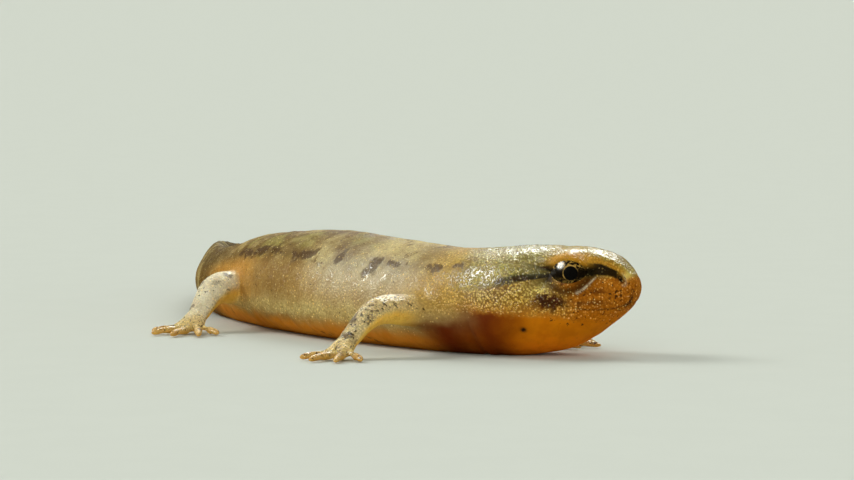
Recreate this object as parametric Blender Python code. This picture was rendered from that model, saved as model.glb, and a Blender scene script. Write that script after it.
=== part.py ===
"""A smooth newt at life size, lying at rest with its head turned to its left.

Metres, +Z up, the floor at z = 0. The head points along +X, and the trunk and tail curl away
behind it towards -X and then +Y. The origin is on the floor, under the middle of the trunk.
The body is one surface along a curved spine, parted across it by thin seams. The legs are
round tubes from shoulder or hip to the foot, and the toes grow out of a flat palm.
"""

import math

import bmesh
import bpy
import numpy as np
from mathutils import Vector

MM = 0.001

# Driving sizes, in millimetres along the spine from the snout.
HEAD_LENGTH = 9.3
NECK_END = 11.1
SHOULDER = 11.8
MID_TRUNK = 25.5
TRUNK_SEAMS = (20.6, 30.2)
HIP = 35.0
TAIL_START = 39.5
TOTAL_LENGTH = 80.0
SEAM = 0.3

# How far the spine has turned away from the head's direction, in degrees.
NECK_BEND_FROM, NECK_BEND_TO, NECK_TURN = 5.5, 14.0, 45.0
TRUNK_TURN = 6.0
TAIL_BEND_FROM, TAIL_BEND_TO, TAIL_ROOT_TURN = 37.0, 50.0, 24.0
TAIL_CURL = 26.0

# The body's cross-section at named places. "crown" and "keel" are the exponents of the
# superellipse above and below the widest height: 2 is an ellipse, more is boxier.
PLACES = (
    # name, along, half width, top, bottom, widest at, crown, keel
    ("snout", 0.0, 1.88, 5.52, 2.66, 3.80, 2.6, 2.0),
    ("nostril", 1.3, 2.12, 6.00, 2.12, 3.70, 2.7, 1.9),
    ("muzzle", 2.6, 2.64, 6.36, 1.20, 3.55, 2.7, 1.9),
    ("eye", 4.2, 3.06, 6.50, 0.40, 3.40, 2.6, 2.0),
    ("cheek", 6.0, 3.52, 6.52, 0.06, 3.20, 2.4, 2.0),
    ("jaw", 7.4, 3.68, 6.45, -0.12, 3.10, 2.3, 2.1),
    ("gular fold", 9.3, 3.40, 6.30, -0.12, 3.00, 2.2, 2.2),
    ("shoulder", 12.0, 3.25, 6.20, -0.15, 2.90, 2.1, 2.3),
    ("ribs", 17.0, 3.80, 6.35, -0.20, 2.80, 2.0, 2.4),
    ("waist", 24.5, 4.15, 6.55, -0.20, 2.80, 2.0, 2.4),
    ("loin", 31.0, 3.80, 6.15, -0.20, 2.70, 2.0, 2.4),
    ("hip", 35.5, 3.10, 5.70, -0.15, 2.60, 2.0, 2.3),
    ("vent", 39.5, 2.30, 4.95, -0.10, 2.35, 1.9, 2.1),
    ("tail root", 43.5, 1.80, 4.50, -0.08, 2.15, 1.7, 2.0),
    ("tail crest", 52.0, 1.38, 4.30, -0.06, 2.05, 1.5, 1.9),
    ("tail middle", 62.0, 1.00, 3.70, -0.06, 1.75, 1.4, 1.8),
    ("tail taper", 72.0, 0.64, 2.50, -0.05, 1.15, 1.5, 1.8),
    ("tail tip", 80.0, 0.17, 0.50, -0.05, 0.24, 2.0, 2.0),
)
SNOUT_HEIGHT, SNOUT_ROUND = 4.05, 1.7
TIP_HEIGHT, TIP_ROUND = 0.22, 0.5

EYE_ALONG, EYE_SIDE, EYE_HEIGHT, EYE_RADIUS = 3.90, 2.1, 5.0, 1.15

MOUTH_FRONT, MOUTH_DIP, MOUTH_CORNER = 3.05, 2.80, 3.00  # heights of the mouth's line
MOUTH_DIP_ALONG, MOUTH_CORNER_ALONG, JAW_ANGLE_ALONG = 3.0, 5.6, 8.3

# Each leg: where it roots on the spine, its side (-1 right, 1 left), its joints as (forward,
# sideways, height) from the spine there, and the direction of its foot from straight ahead.
FORE = {"half": ((1.20, 0.84, 0.62, 0.95), (1.10, 0.78, 0.52, 0.36)), "palm": 1.5, "toe": 0.26}
HIND = {"half": ((1.55, 0.98, 0.70, 1.10), (1.35, 0.90, 0.56, 0.38)), "palm": 1.7, "toe": 0.27}
LEG_ROOT_SIDE, LEG_ROOT_HEIGHT = 1.4, 2.3  # where each leg's path starts, inside the trunk
WRIST_SEAM_BEFORE = 0.1  # how far before the wrist's bend its seam lies
PALM_HEIGHT = 0.30
DIGIT_ROOT, DIGIT_SPREAD = 0.45, 0.85  # how far back in the palm, and across it, a digit starts
DIGIT_SINK, DIGIT_ARCH = 0.05, 0.10  # how far a digit is pressed flat, and how high it arches
DIGIT_TAPER, DIGIT_TIP = 0.42, 0.85  # its loss of radius, and where its round tip starts
LIMB_SOFTNESS = 1.0  # how far from an elbow or a wrist its bend spreads
FINGERS = ((-42, 1.4), (-13, 2.2), (12, 2.4), (40, 1.6))
TOES = ((-50, 1.2), (-24, 2.2), (0, 2.8), (22, 2.7), (48, 1.6))
LEGS = (
    # names of its pieces, shape, digits, root, side, elbow or knee, wrist or ankle, foot points
    (("upper_arm_right", "forearm_right", "hand_right"), FORE, FINGERS,
     SHOULDER, -1, (0.3, 6.8, 2.95), (0.1, 8.7, 0.90), -62),
    (("upper_arm_left", "forearm_left", "hand_left"), FORE, FINGERS,
     SHOULDER, 1, (-1.2, 6.1, 3.0), (1.2, 5.8, 0.90), 10),
    (("thigh_right", "shin_right", "foot_right"), HIND, TOES,
     HIP, -1, (2.9, 5.5, 2.8), (4.1, 7.2, 0.95), -45),
    (("thigh_left", "shin_left", "foot_left"), HIND, TOES,
     HIP, 1, (-1.8, 6.8, 3.2), (-4.4, 8.4, 1.0), 70),
)

# How many sides and rings the round shapes have.
AROUND, AROUND_HEAD, AROUND_TAIL = 26, 32, 16
AROUND_LEG, AROUND_DIGIT, RINGS_LEG = 12, 8, 7
BALL_SEGMENTS, BALL_RINGS = 16, 10

FLESH = {
    "back": ((0.33, 0.24, 0.12), 0.42),
    "throat": ((0.55, 0.22, 0.04), 0.38),
    "leg": ((0.36, 0.25, 0.11), 0.40),
    "eye": ((0.02, 0.015, 0.01), 0.10),
}


def clear_scene():
    for item in list(bpy.data.objects):
        bpy.data.objects.remove(item, do_unlink=True)


def new_collection(name):
    made = bpy.data.collections.new(name)
    bpy.context.scene.collection.children.link(made)
    return made


def material(name):
    """One Principled BSDF with the flesh's colour and roughness, made once."""
    if name in bpy.data.materials:
        return bpy.data.materials[name]
    colour, roughness = FLESH[name]
    made = bpy.data.materials.new(name)
    made.use_nodes = True
    shader = made.node_tree.nodes["Principled BSDF"]
    shader.inputs["Base Color"].default_value = (*colour, 1)
    shader.inputs["Roughness"].default_value = roughness
    shader.inputs["Metallic"].default_value = 0
    return made


# ---------------------------------------------------------------- the spine and the sections


def smooth_through(places, values, at):
    """A curve through the values that never overshoots them (monotone cubic)."""
    places, values = np.asarray(places, float), np.asarray(values, float)
    step = np.diff(places)
    rise = np.diff(values) / step
    slope = np.zeros(len(values))
    same_way = rise[:-1] * rise[1:] > 0
    mean = 2 * rise[:-1] * rise[1:] / np.where(same_way, rise[:-1] + rise[1:], 1)
    slope[1:-1] = np.where(same_way, mean, 0)
    slope[0], slope[-1] = rise[0], rise[-1]
    i = np.clip(np.searchsorted(places, at) - 1, 0, len(step) - 1)
    t = (np.asarray(at, float) - places[i]) / step[i]
    return (
        values[i] * (1 + 2 * t) * (1 - t) ** 2
        + values[i + 1] * t * t * (3 - 2 * t)
        + slope[i] * step[i] * t * (1 - t) ** 2
        - slope[i + 1] * step[i] * t * t * (1 - t)
    )


def ease(value, low, high):
    t = np.clip((value - low) / (high - low), 0, 1)
    return t * t * (3 - 2 * t)


def heading(along):
    """The direction that the body points in at each place, in radians from +X."""
    turned = (
        NECK_TURN * ease(along, NECK_BEND_FROM, NECK_BEND_TO)
        + TRUNK_TURN * ease(along, NECK_BEND_TO, HIP)
        + TAIL_ROOT_TURN * ease(along, TAIL_BEND_FROM, TAIL_BEND_TO)
        + TAIL_CURL * ease(along, TAIL_BEND_TO, TOTAL_LENGTH)
    )
    return -np.radians(turned)


def spine(along):
    """Points (x, y) of the spine, found by adding up short steps backwards from the snout."""
    fine = np.linspace(0, TOTAL_LENGTH, 2001)
    angle = heading(fine)
    middle = (angle[1:] + angle[:-1]) / 2
    step = fine[1] - fine[0]
    x = np.concatenate([[0], -np.cumsum(np.cos(middle)) * step])
    y = np.concatenate([[0], -np.cumsum(np.sin(middle)) * step])
    origin = [np.interp(MID_TRUNK, fine, line) for line in (x, y)]
    return np.interp(along, fine, x) - origin[0], np.interp(along, fine, y) - origin[1]


def rounding(along):
    """How full the section is: a quarter ellipse at the snout and at the tail's tip."""
    snout = np.clip(along / SNOUT_ROUND, 0, 1)
    tip = np.clip((TOTAL_LENGTH - along) / TIP_ROUND, 0, 1)
    return np.sqrt(1 - (1 - snout) ** 2) * np.sqrt(1 - (1 - tip) ** 2)


def section_sizes(along):
    """Half width, top, bottom, widest height, crown and keel at each place."""
    table = np.array([place[1:] for place in PLACES])
    half, top, bottom, widest, crown, keel = (
        smooth_through(table[:, 0], table[:, k], along) for k in range(1, 7)
    )
    full = rounding(along)
    end_height = np.where(along < MID_TRUNK, SNOUT_HEIGHT, TIP_HEIGHT)
    top, bottom, widest = (end_height + (z - end_height) * full for z in (top, bottom, widest))
    return half * full, top, bottom, widest, crown, keel


def brow(along, height):
    """The low mound that the eye sits in, as extra half width."""
    return 0.28 * np.exp(-(((along - EYE_ALONG) / 1.5) ** 2) - ((height - EYE_HEIGHT) / 1.0) ** 2)


def body_rings(along, around, grow=0.0):
    """Rings of points across the body. A ring is a superellipse in the plane across the spine,
    its upper and lower halves with their own heights, and what would sink is laid flat."""
    along = np.asarray(along, float)[:, None]
    half, top, bottom, widest, crown, keel = section_sizes(along)
    turn = np.linspace(0, 2 * math.pi, around, endpoint=False)[None, :]
    c, s = np.cos(turn), np.sin(turn)
    power = np.where(s >= 0, crown, keel)
    side = np.sign(c) * np.abs(c) ** (2 / power) * half
    reach = np.where(s >= 0, top - widest, widest - bottom)
    height = widest + np.sign(s) * np.abs(s) ** (2 / power) * reach
    side = side + np.sign(side) * brow(along, height) * np.abs(c)
    outward = np.hypot(side, height - widest)
    share = 1 + grow / np.maximum(outward, 0.05)
    side, height = side * share, widest + (height - widest) * share
    x, y = spine(along)
    angle = heading(along)
    floor = 0.0 if grow == 0 else -1.0
    points = np.stack(
        [x - np.sin(angle) * side, y + np.cos(angle) * side, np.maximum(height, floor)], axis=-1
    )
    return points * MM


# ------------------------------------------------------------------------- making the solids


def loft(name, rings, finish, collection):
    """A closed solid through rings of points, with a flat or pointed cap at each end."""
    count, around = rings.shape[:2]
    mesh = bmesh.new()
    rows = [[mesh.verts.new(point) for point in ring] for ring in rings]
    for a, b in zip(rows[:-1], rows[1:]):
        for k in range(around):
            n = (k + 1) % around
            mesh.faces.new((a[k], b[k], b[n], a[n]))
    mesh.faces.new(rows[0])
    mesh.faces.new(rows[-1])
    bmesh.ops.remove_doubles(mesh, verts=mesh.verts, dist=1e-6)
    bmesh.ops.recalc_face_normals(mesh, faces=mesh.faces)
    return object_from(name, mesh, finish, collection)


def object_from(name, mesh, finish, collection):
    data = bpy.data.meshes.new(name)
    mesh.to_mesh(data)
    mesh.free()
    made = bpy.data.objects.new(name, data)
    if finish:
        data.materials.append(material(finish))
        data.shade_smooth()
        data.set_sharp_from_angle(angle=math.radians(40))
    collection.objects.link(made)
    return made


def as_cutter(item):
    item.hide_render = True
    item.display_type = "WIRE"
    return item


def boolean(target, other, operation):
    change = target.modifiers.new(f"{operation.lower()} {other.name}", "BOOLEAN")
    change.operation = operation
    change.solver = "EXACT"
    change.object = other
    return target


def prism(name, outline, half_width, collection):
    """A flat outline in X and Z, as thick across Y as twice half_width."""
    mesh = bmesh.new()
    face = mesh.faces.new([mesh.verts.new((x, -half_width, z)) for x, z in outline])
    grown = bmesh.ops.extrude_face_region(mesh, geom=[face])["geom"]
    moved = [item for item in grown if isinstance(item, bmesh.types.BMVert)]
    bmesh.ops.translate(mesh, verts=moved, vec=(0, 2 * half_width, 0))
    bmesh.ops.recalc_face_normals(mesh, faces=mesh.faces)
    return as_cutter(object_from(name, mesh, None, collection))


def ball(name, radius, centre, collection):
    bpy.ops.mesh.primitive_uv_sphere_add(
        radius=radius, segments=BALL_SEGMENTS, ring_count=BALL_RINGS, location=centre
    )
    made = bpy.context.object
    made.name = name
    for owner in list(made.users_collection):
        owner.objects.unlink(made)
    collection.objects.link(made)
    return made


# --------------------------------------------------------------------------- parts of the newt


def body_length(name, start, end, rings, finish, collection, around=AROUND):
    """One length of the body between two seams."""
    along = np.linspace(start + SEAM / 2, end - SEAM / 2, rings)
    return loft(name, body_rings(along, around), finish, collection)


def head_rings():
    """Rings close together at the blunt snout and evenly spaced behind it."""
    nose = SNOUT_ROUND * (1 - np.cos(np.linspace(0.12, math.pi / 2, 9)))
    rest = np.linspace(SNOUT_ROUND, HEAD_LENGTH - SEAM / 2, 16)
    return body_rings(np.concatenate([nose[:-1], rest]), AROUND_HEAD)


def jaw_outline(gap):
    """The lower jaw seen from the side: under the mouth's line and before the jaw's angle."""
    x0, _ = spine(0.0)
    rise = gap * 1.0
    return [
        ((x0 + 3.0) * MM, (MOUTH_FRONT + rise) * MM),
        ((x0 - 0.4) * MM, (MOUTH_FRONT + rise) * MM),
        ((x0 - MOUTH_DIP_ALONG) * MM, (MOUTH_DIP + rise) * MM),
        ((x0 - MOUTH_CORNER_ALONG - gap) * MM, (MOUTH_CORNER + rise) * MM),
        ((x0 - JAW_ANGLE_ALONG - gap) * MM, -1.0 * MM),
        ((x0 + 3.0) * MM, -1.0 * MM),
    ]


def make_head(collection, cutters):
    """The skull's half, the lower jaw with the throat, and the two eyes in their sockets."""
    x0, y0 = spine(0.0)
    head = loft("head", head_rings(), "back", collection)
    jaw = loft("lower_jaw", head_rings(), "throat", collection)
    reach = 5.0 * MM
    over = prism("cut over the jaw", jaw_outline(SEAM / 2), reach, cutters)
    under = prism("jaw block", jaw_outline(-SEAM / 2), reach, cutters)
    for cutter in (over, under):
        cutter.location.y = y0 * MM
    boolean(head, over, "DIFFERENCE")
    boolean(jaw, under, "INTERSECT")
    for side, label in ((-1, "right"), (1, "left")):
        centre = Vector((x0 - EYE_ALONG, y0 + side * EYE_SIDE, EYE_HEIGHT)) * MM
        socket = ball(f"socket {label}", (EYE_RADIUS + SEAM) * MM, centre, cutters)
        boolean(head, as_cutter(socket), "DIFFERENCE")
        eye = ball(f"eye_{label}", EYE_RADIUS * MM, centre, collection)
        eye.rotation_euler.x = math.pi / 2
        eye.data.materials.append(material("eye"))
        eye.data.shade_smooth()


def directions(points):
    """The direction of travel at each point of a path."""
    ahead = np.gradient(np.asarray(points, float), axis=0)
    return ahead / np.linalg.norm(ahead, axis=1, keepdims=True)


def tube_rings(points, ahead, widths, heights, around=AROUND_LEG):
    """Rings along a path: each is an ellipse across the path, whose wide axis stays level."""
    level = np.cross(ahead, [0.0, 0.0, 1.0])
    level /= np.linalg.norm(level, axis=1, keepdims=True)
    up = np.cross(level, ahead)
    turn = np.linspace(0, 2 * math.pi, around, endpoint=False)[None, :, None]
    width, height = (np.asarray(v, float)[:, None, None] for v in (widths, heights))
    ring = level[:, None] * np.cos(turn) * width + up[:, None] * np.sin(turn) * height
    return (np.asarray(points)[:, None] + ring) * MM


def limb_path(joints):
    """A path through a leg's joints as many short steps, its corners rounded by averaging.
    It returns the points, how far each is along, and how far each joint is."""
    joints = np.asarray(joints, float)
    spans = np.linalg.norm(np.diff(joints, axis=0), axis=1)
    at = np.concatenate([[0], np.cumsum(spans)])
    along = np.linspace(0, at[-1], 161)
    points = np.stack([np.interp(along, at, joints[:, k]) for k in range(3)], axis=1)
    for _ in range(int(2 * (LIMB_SOFTNESS / along[1]) ** 2)):
        points[1:-1] = (points[:-2] + 2 * points[1:-1] + points[2:]) / 4
    return points, along, at


def along_path(values, along, here):
    return np.stack([np.interp(here, along, values[:, k]) for k in range(3)], axis=1)


def limb_piece(name, limb, start, stop, collection):
    """The length of a leg between two distances along it, its ends flat and a seam apart from
    the next piece's."""
    points, along, at, table = limb
    here = np.linspace(start, stop, RINGS_LEG)
    middle = along_path(points, along, here)
    ahead = along_path(directions(points), along, here)
    ahead /= np.linalg.norm(ahead, axis=1, keepdims=True)
    middle[0] += ahead[0] * SEAM / 2 * (start > 0)
    middle[-1] -= ahead[-1] * SEAM / 2 * (stop < at[-1])
    widths, heights = (smooth_through(at, table[k], here) for k in (0, 1))
    return loft(name, tube_rings(middle, ahead, widths, heights), "leg", collection)


def add_digits(palm, limb, pointing, digits, thickness, collection):
    """Toes growing out of the palm's front, level with its sole, each with a round tip."""
    points, _, _, table = limb
    ahead = np.array([math.cos(pointing), math.sin(pointing), 0.0])
    across = np.array([-ahead[1], ahead[0], 0.0]) * table[0][-1] * DIGIT_SPREAD
    t = np.linspace(0, 1, 7)
    tip = np.clip((t - DIGIT_TIP) / (1.01 - DIGIT_TIP), 0, 0.97)
    thick = thickness * (1.08 - DIGIT_TAPER * t) * np.sqrt(1 - tip**2)
    for number, (spread, length) in enumerate(digits, 1):
        angle = pointing + math.radians(spread)
        along = np.array([math.cos(angle), math.sin(angle), 0.0])
        root = points[-1] - ahead * DIGIT_ROOT + across * math.sin(math.radians(spread * 1.5))
        line = root + along * (length + DIGIT_ROOT) * t[:, None]
        line[:, 2] = thickness - DIGIT_SINK + DIGIT_ARCH * np.sin(math.pi * t)
        rings = tube_rings(line, directions(line), thick, thick, AROUND_DIGIT)
        toe = loft(f"{palm.name} toe {number}", rings, None, collection)
        boolean(palm, as_cutter(toe), "UNION")


def make_leg(names, shape, digits, root, side, joint, end, pointing, collection, cutters):
    """A leg of three pieces. The upper one is trimmed to the flank it grows from."""
    x, y = (float(v) for v in spine(root))
    angle = float(heading(np.array(root)))
    ahead = np.array([math.cos(angle), math.sin(angle), 0.0])
    across = np.array([-math.sin(angle), math.cos(angle), 0.0]) * side

    def place(forward, sideways, height):
        return np.array([x, y, 0.0]) + ahead * forward + across * sideways + [0, 0, height]

    toward = angle + math.radians(pointing)
    wrist = place(*end)
    front = wrist + np.array([math.cos(toward), math.sin(toward), 0.0]) * shape["palm"]
    front[2] = PALM_HEIGHT
    joints = [place(0.0, LEG_ROOT_SIDE, LEG_ROOT_HEIGHT), place(*joint), wrist, front]
    points, along, at = limb_path(joints)
    limb = (points, along, at, shape["half"])
    wrist_seam = at[2] - WRIST_SEAM_BEFORE
    cuts = ((0.0, at[1]), (at[1], wrist_seam), (wrist_seam, at[3]))
    for name, (start, stop) in zip(names, cuts):
        piece = limb_piece(name, limb, start, stop, collection)
        if name == names[0]:
            boolean(piece, bpy.data.objects["grown flank"], "DIFFERENCE")
    add_digits(piece, limb, toward, digits, shape["toe"], cutters)
    boolean(piece, bpy.data.objects["floor block"], "DIFFERENCE")


def make_cutters(cutters):
    """A block under the floor, and the body a seam's width larger all round."""
    block = 200 * MM
    bpy.ops.mesh.primitive_cube_add(size=block, location=(0, 0, -block / 2))
    floor = bpy.context.object
    floor.name = "floor block"
    for owner in list(floor.users_collection):
        owner.objects.unlink(floor)
    cutters.objects.link(floor)
    as_cutter(floor)
    along = np.linspace(HEAD_LENGTH - 2, TAIL_START + 4, 60)
    as_cutter(loft("grown flank", body_rings(along, 40, grow=SEAM), None, cutters))


def main():
    clear_scene()
    newt = new_collection("newt")
    cutters = new_collection("cutters")
    make_cutters(cutters)
    make_head(newt, cutters)
    body_length("neck", HEAD_LENGTH, NECK_END, 4, "back", newt)
    body_length("trunk_front", NECK_END, TRUNK_SEAMS[0], 9, "back", newt)
    body_length("trunk_middle", *TRUNK_SEAMS, 8, "back", newt)
    body_length("trunk_rear", TRUNK_SEAMS[1], TAIL_START, 9, "back", newt)
    tail_cuts = np.linspace(TAIL_START, TOTAL_LENGTH, 4)
    for name, start, end in zip(("tail_base", "tail_middle"), tail_cuts[:-2], tail_cuts[1:-1]):
        body_length(name, start, end, 11, "back", newt, AROUND_TAIL)
    last = np.linspace(tail_cuts[2] + SEAM / 2, TOTAL_LENGTH - TIP_ROUND, 12)
    tip = TOTAL_LENGTH - TIP_ROUND * (1 - np.sin(np.linspace(0.3, math.pi / 2 - 0.15, 4)))
    loft("tail_end", body_rings(np.concatenate([last, tip]), AROUND_TAIL), "back", newt)
    for leg in LEGS:
        make_leg(*leg, newt, cutters)


main()
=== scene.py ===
"""The looks of a life-size smooth newt: a skin over all its flesh, two eyes, floor and light.

Shapes are worked out in millimetres and scaled to metres as they go into a mesh. A place on the
body is given by how far it is along the spine from the snout, and by its height. The skin is one
closed grid of points round the spine. At each leg a window of it is left out, and the leg's own
grid is joined on round the window's edge, and the toes' grids round the palm's edge.
"""

import math

import bmesh
import bpy
import numpy as np
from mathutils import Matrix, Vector


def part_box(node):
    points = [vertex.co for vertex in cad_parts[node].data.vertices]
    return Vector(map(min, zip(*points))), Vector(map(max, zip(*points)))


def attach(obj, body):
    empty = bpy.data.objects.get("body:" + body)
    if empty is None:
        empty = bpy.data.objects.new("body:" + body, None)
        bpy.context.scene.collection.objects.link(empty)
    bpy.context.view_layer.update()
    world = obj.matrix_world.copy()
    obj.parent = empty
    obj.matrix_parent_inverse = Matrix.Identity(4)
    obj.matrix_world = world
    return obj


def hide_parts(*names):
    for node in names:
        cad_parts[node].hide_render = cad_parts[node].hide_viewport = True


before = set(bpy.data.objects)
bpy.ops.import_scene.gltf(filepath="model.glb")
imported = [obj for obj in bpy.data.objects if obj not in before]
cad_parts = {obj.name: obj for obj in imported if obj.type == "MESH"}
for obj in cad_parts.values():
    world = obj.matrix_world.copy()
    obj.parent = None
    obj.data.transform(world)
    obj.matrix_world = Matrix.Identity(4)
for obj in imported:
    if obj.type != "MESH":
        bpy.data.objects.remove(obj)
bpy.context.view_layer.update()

MM = 0.001

# The eyes' places, from the frame.
EYE_BOXES = {label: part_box(f"eye_{label}") for label in ("right", "left")}
EYE_CENTRES = {label: np.array((low + high) / 2) / MM for label, (low, high) in EYE_BOXES.items()}
EYE_RADIUS = (EYE_BOXES["right"][1].x - EYE_BOXES["right"][0].x) / 2 / MM
EYE_HEIGHT = float(EYE_CENTRES["right"][2])
EYE_SIDE = float(EYE_CENTRES["left"][1] - EYE_CENTRES["right"][1]) / 2
EYE_ALONG = 3.90

# --- the body's sizes, as in the solids (mm)

MID_TRUNK = 25.5
SHOULDER, HIP, TOTAL_LENGTH = 11.8, 35.0, 80.0
NECK_BEND_FROM, NECK_BEND_TO, NECK_TURN = 5.5, 14.0, 45.0
TRUNK_TURN = 6.0
TAIL_BEND_FROM, TAIL_BEND_TO, TAIL_ROOT_TURN = 37.0, 50.0, 24.0
TAIL_CURL = 26.0

PLACES = (
    # name, along, half width, top, bottom, widest at, crown, keel
    ("snout", 0.0, 1.88, 5.52, 2.66, 3.80, 2.6, 2.0),
    ("nostril", 1.3, 2.12, 6.00, 2.12, 3.70, 2.7, 1.9),
    ("muzzle", 2.6, 2.64, 6.36, 1.20, 3.55, 2.7, 1.9),
    ("eye", 4.2, 3.06, 6.50, 0.40, 3.40, 2.6, 2.0),
    ("cheek", 6.0, 3.52, 6.52, 0.06, 3.20, 2.4, 2.0),
    ("jaw", 7.4, 3.68, 6.45, -0.12, 3.10, 2.3, 2.1),
    ("gular fold", 9.3, 3.40, 6.30, -0.12, 3.00, 2.2, 2.2),
    ("shoulder", 12.0, 3.25, 6.20, -0.15, 2.90, 2.1, 2.3),
    ("ribs", 17.0, 3.80, 6.35, -0.20, 2.80, 2.0, 2.4),
    ("waist", 24.5, 4.15, 6.55, -0.20, 2.80, 2.0, 2.4),
    ("loin", 31.0, 3.80, 6.15, -0.20, 2.70, 2.0, 2.4),
    ("hip", 35.5, 3.10, 5.70, -0.15, 2.60, 2.0, 2.3),
    ("vent", 39.5, 2.30, 4.95, -0.10, 2.35, 1.9, 2.1),
    ("tail root", 43.5, 1.80, 4.50, -0.08, 2.15, 1.7, 2.0),
    ("tail crest", 52.0, 1.38, 4.30, -0.06, 2.05, 1.5, 1.9),
    ("tail middle", 62.0, 1.00, 3.70, -0.06, 1.75, 1.4, 1.8),
    ("tail taper", 72.0, 0.64, 2.50, -0.05, 1.15, 1.5, 1.8),
    ("tail tip", 80.0, 0.17, 0.50, -0.05, 0.24, 2.0, 2.0),
)
SNOUT_HEIGHT, SNOUT_ROUND = 4.05, 1.7
TIP_HEIGHT, TIP_ROUND = 0.22, 0.5
BROW_OUT = 0.28
SPINE_STEPS, OUTLINE_STEPS, LIMB_STEPS = 2000, 720, 160

# Half widths and half heights at root, elbow or knee, wrist or ankle and palm's end; the palm's
# length; a toe's half thickness; and the window's rows and columns in the trunk's grid.
FORE = {
    "half": ((1.20, 0.84, 0.62, 0.95), (1.10, 0.78, 0.52, 0.36)),
    "palm": 1.5, "toe": 0.26, "window": (8, 20),
}
HIND = {
    "half": ((1.55, 0.98, 0.70, 1.10), (1.35, 0.90, 0.56, 0.38)),
    "palm": 1.7, "toe": 0.27, "window": (10, 20),
}
LEG_ROOT_SIDE, LEG_ROOT_HEIGHT = 1.4, 2.3
PALM_HEIGHT = 0.30
DIGIT_ROOT, DIGIT_SPREAD = 0.45, 0.85
DIGIT_SINK, DIGIT_ARCH = 0.05, 0.10
DIGIT_TAPER, DIGIT_TIP = 0.42, 0.85
LIMB_SOFTNESS = 1.0
# Each finger's and toe's angle in degrees from the foot's own direction, and its length.
FINGERS = ((-42, 1.4), (-13, 2.2), (12, 2.4), (40, 1.6))
TOES = ((-50, 1.2), (-24, 2.2), (0, 2.8), (22, 2.7), (48, 1.6))
LEGS = (
    # name, shape, digits, root, side, elbow or knee, wrist or ankle, foot points
    ("right fore", FORE, FINGERS, SHOULDER, -1, (0.3, 6.8, 2.95), (0.1, 8.7, 0.90), -62),
    ("left fore", FORE, FINGERS, SHOULDER, 1, (-1.2, 6.1, 3.0), (1.2, 5.8, 0.90), 10),
    ("right hind", HIND, TOES, HIP, -1, (2.9, 5.5, 2.8), (4.1, 7.2, 0.95), -45),
    ("left hind", HIND, TOES, HIP, 1, (-1.8, 6.8, 3.2), (-4.4, 8.4, 1.0), 70),
)

# --- the skin's own sizes (mm)

HALF_COLUMNS = 96  # columns of points from the back's middle line to the belly's, on each side
COLUMNS = 2 * HALF_COLUMNS
NOSE_RINGS, TIP_RINGS, POLE_GAP = 44, 8, 0.05
RING_STEPS = (  # the gap between rings at places along
    (1.7, 0.062), (2.4, 0.060), (2.8, 0.046), (5.0, 0.046), (5.4, 0.064), (6.2, 0.068),
    (9.5, 0.10), (12.5, 0.25), (39.0, 0.26), (50.0, 0.46),
)

# The closed mouth's line and other lines of the head, each through (along, height) places.
MOUTH = ((0.0, 3.22), (0.44, 3.18), (0.92, 3.0), (1.54, 2.89), (2.36, 2.86), (3.08, 2.91),
         (3.84, 3.04), (4.84, 3.28), (5.6, 3.40))
CANTHUS = ((0.30, 4.45), (0.34, 4.61), (0.62, 5.07), (1.20, 5.54), (2.24, 6.02), (3.14, 6.24),
           (4.12, 6.28), (4.88, 6.05), (5.8, 5.7))
EYE_FOLD = ((1.9, 5.30), (2.24, 4.98), (2.96, 4.24), (3.36, 3.99), (3.88, 3.94), (4.44, 3.92),
            (5.2, 4.20), (5.8, 4.70))
NOSTRIL = (0.92, 4.68)
BAND_LOW = ((0.8, 4.50), (1.2, 4.70), (1.66, 4.86), (2.3, 4.94), (2.9, 4.88), (5.0, 4.75),
            (6.0, 4.70), (7.5, 4.25), (9.0, 3.9))
BAND_HIGH = ((0.8, 4.9), (1.2, 5.20), (1.66, 5.42), (2.3, 5.60), (2.9, 5.62), (5.0, 5.45),
             (6.0, 5.20), (7.5, 4.70), (9.0, 4.3))
THROAT_LINE = ((0.0, 2.9), (0.5, 2.72), (1.5, 2.42), (3.0, 2.32), (4.3, 2.48), (6.0, 2.60),
               (8.4, 2.70), (9.5, 2.90))

# The eye's opening, measured on the ball, and the lids.
OPENING_HALF, OPENING_UP, OPENING_DOWN, OPENING_MIDDLE = 1.12, 0.78, 0.66, 0.08
OPENING_POWER = 0.62
LID_THICK, LID_REACH, LIDS_WITHIN = 0.11, 0.30, 3.0


# --- simple functions


def smooth_through(places, values, at):
    """A curve through the values that never overshoots them (monotone cubic)."""
    places, values = np.asarray(places, float), np.asarray(values, float)
    step = np.diff(places)
    rise = np.diff(values) / step
    slope = np.zeros(len(values))
    same_way = rise[:-1] * rise[1:] > 0
    mean = 2 * rise[:-1] * rise[1:] / np.where(same_way, rise[:-1] + rise[1:], 1)
    slope[1:-1] = np.where(same_way, mean, 0)
    slope[0], slope[-1] = rise[0], rise[-1]
    at = np.clip(np.asarray(at, float), places[0], places[-1])
    i = np.clip(np.searchsorted(places, at) - 1, 0, len(step) - 1)
    t = (at - places[i]) / step[i]
    return (
        values[i] * (1 + 2 * t) * (1 - t) ** 2
        + values[i + 1] * t * t * (3 - 2 * t)
        + slope[i] * step[i] * t * (1 - t) ** 2
        - slope[i + 1] * step[i] * t * t * (1 - t)
    )


def line_at(line, along):
    """The height of a named line at each place along."""
    places, heights = zip(*line)
    return smooth_through(places, heights, along)


def ease(value, low, high):
    """From 0 at low to 1 at high, level at both ends: 3 t squared less 2 t cubed. It falls as
    the value grows where low is given above high."""
    t = np.clip((value - low) / (high - low), 0, 1)
    return t * t * (3 - 2 * t)


def hump(distance, width):
    """A bell curve: 1 at no distance, and e to the minus square of distance over width."""
    return np.exp(-((distance / width) ** 2))


def soft_max(a, b, width):
    """The larger of two values, rounded off where they are within the width of each other."""
    return (a + b + np.hypot(a - b, width)) / 2


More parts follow.
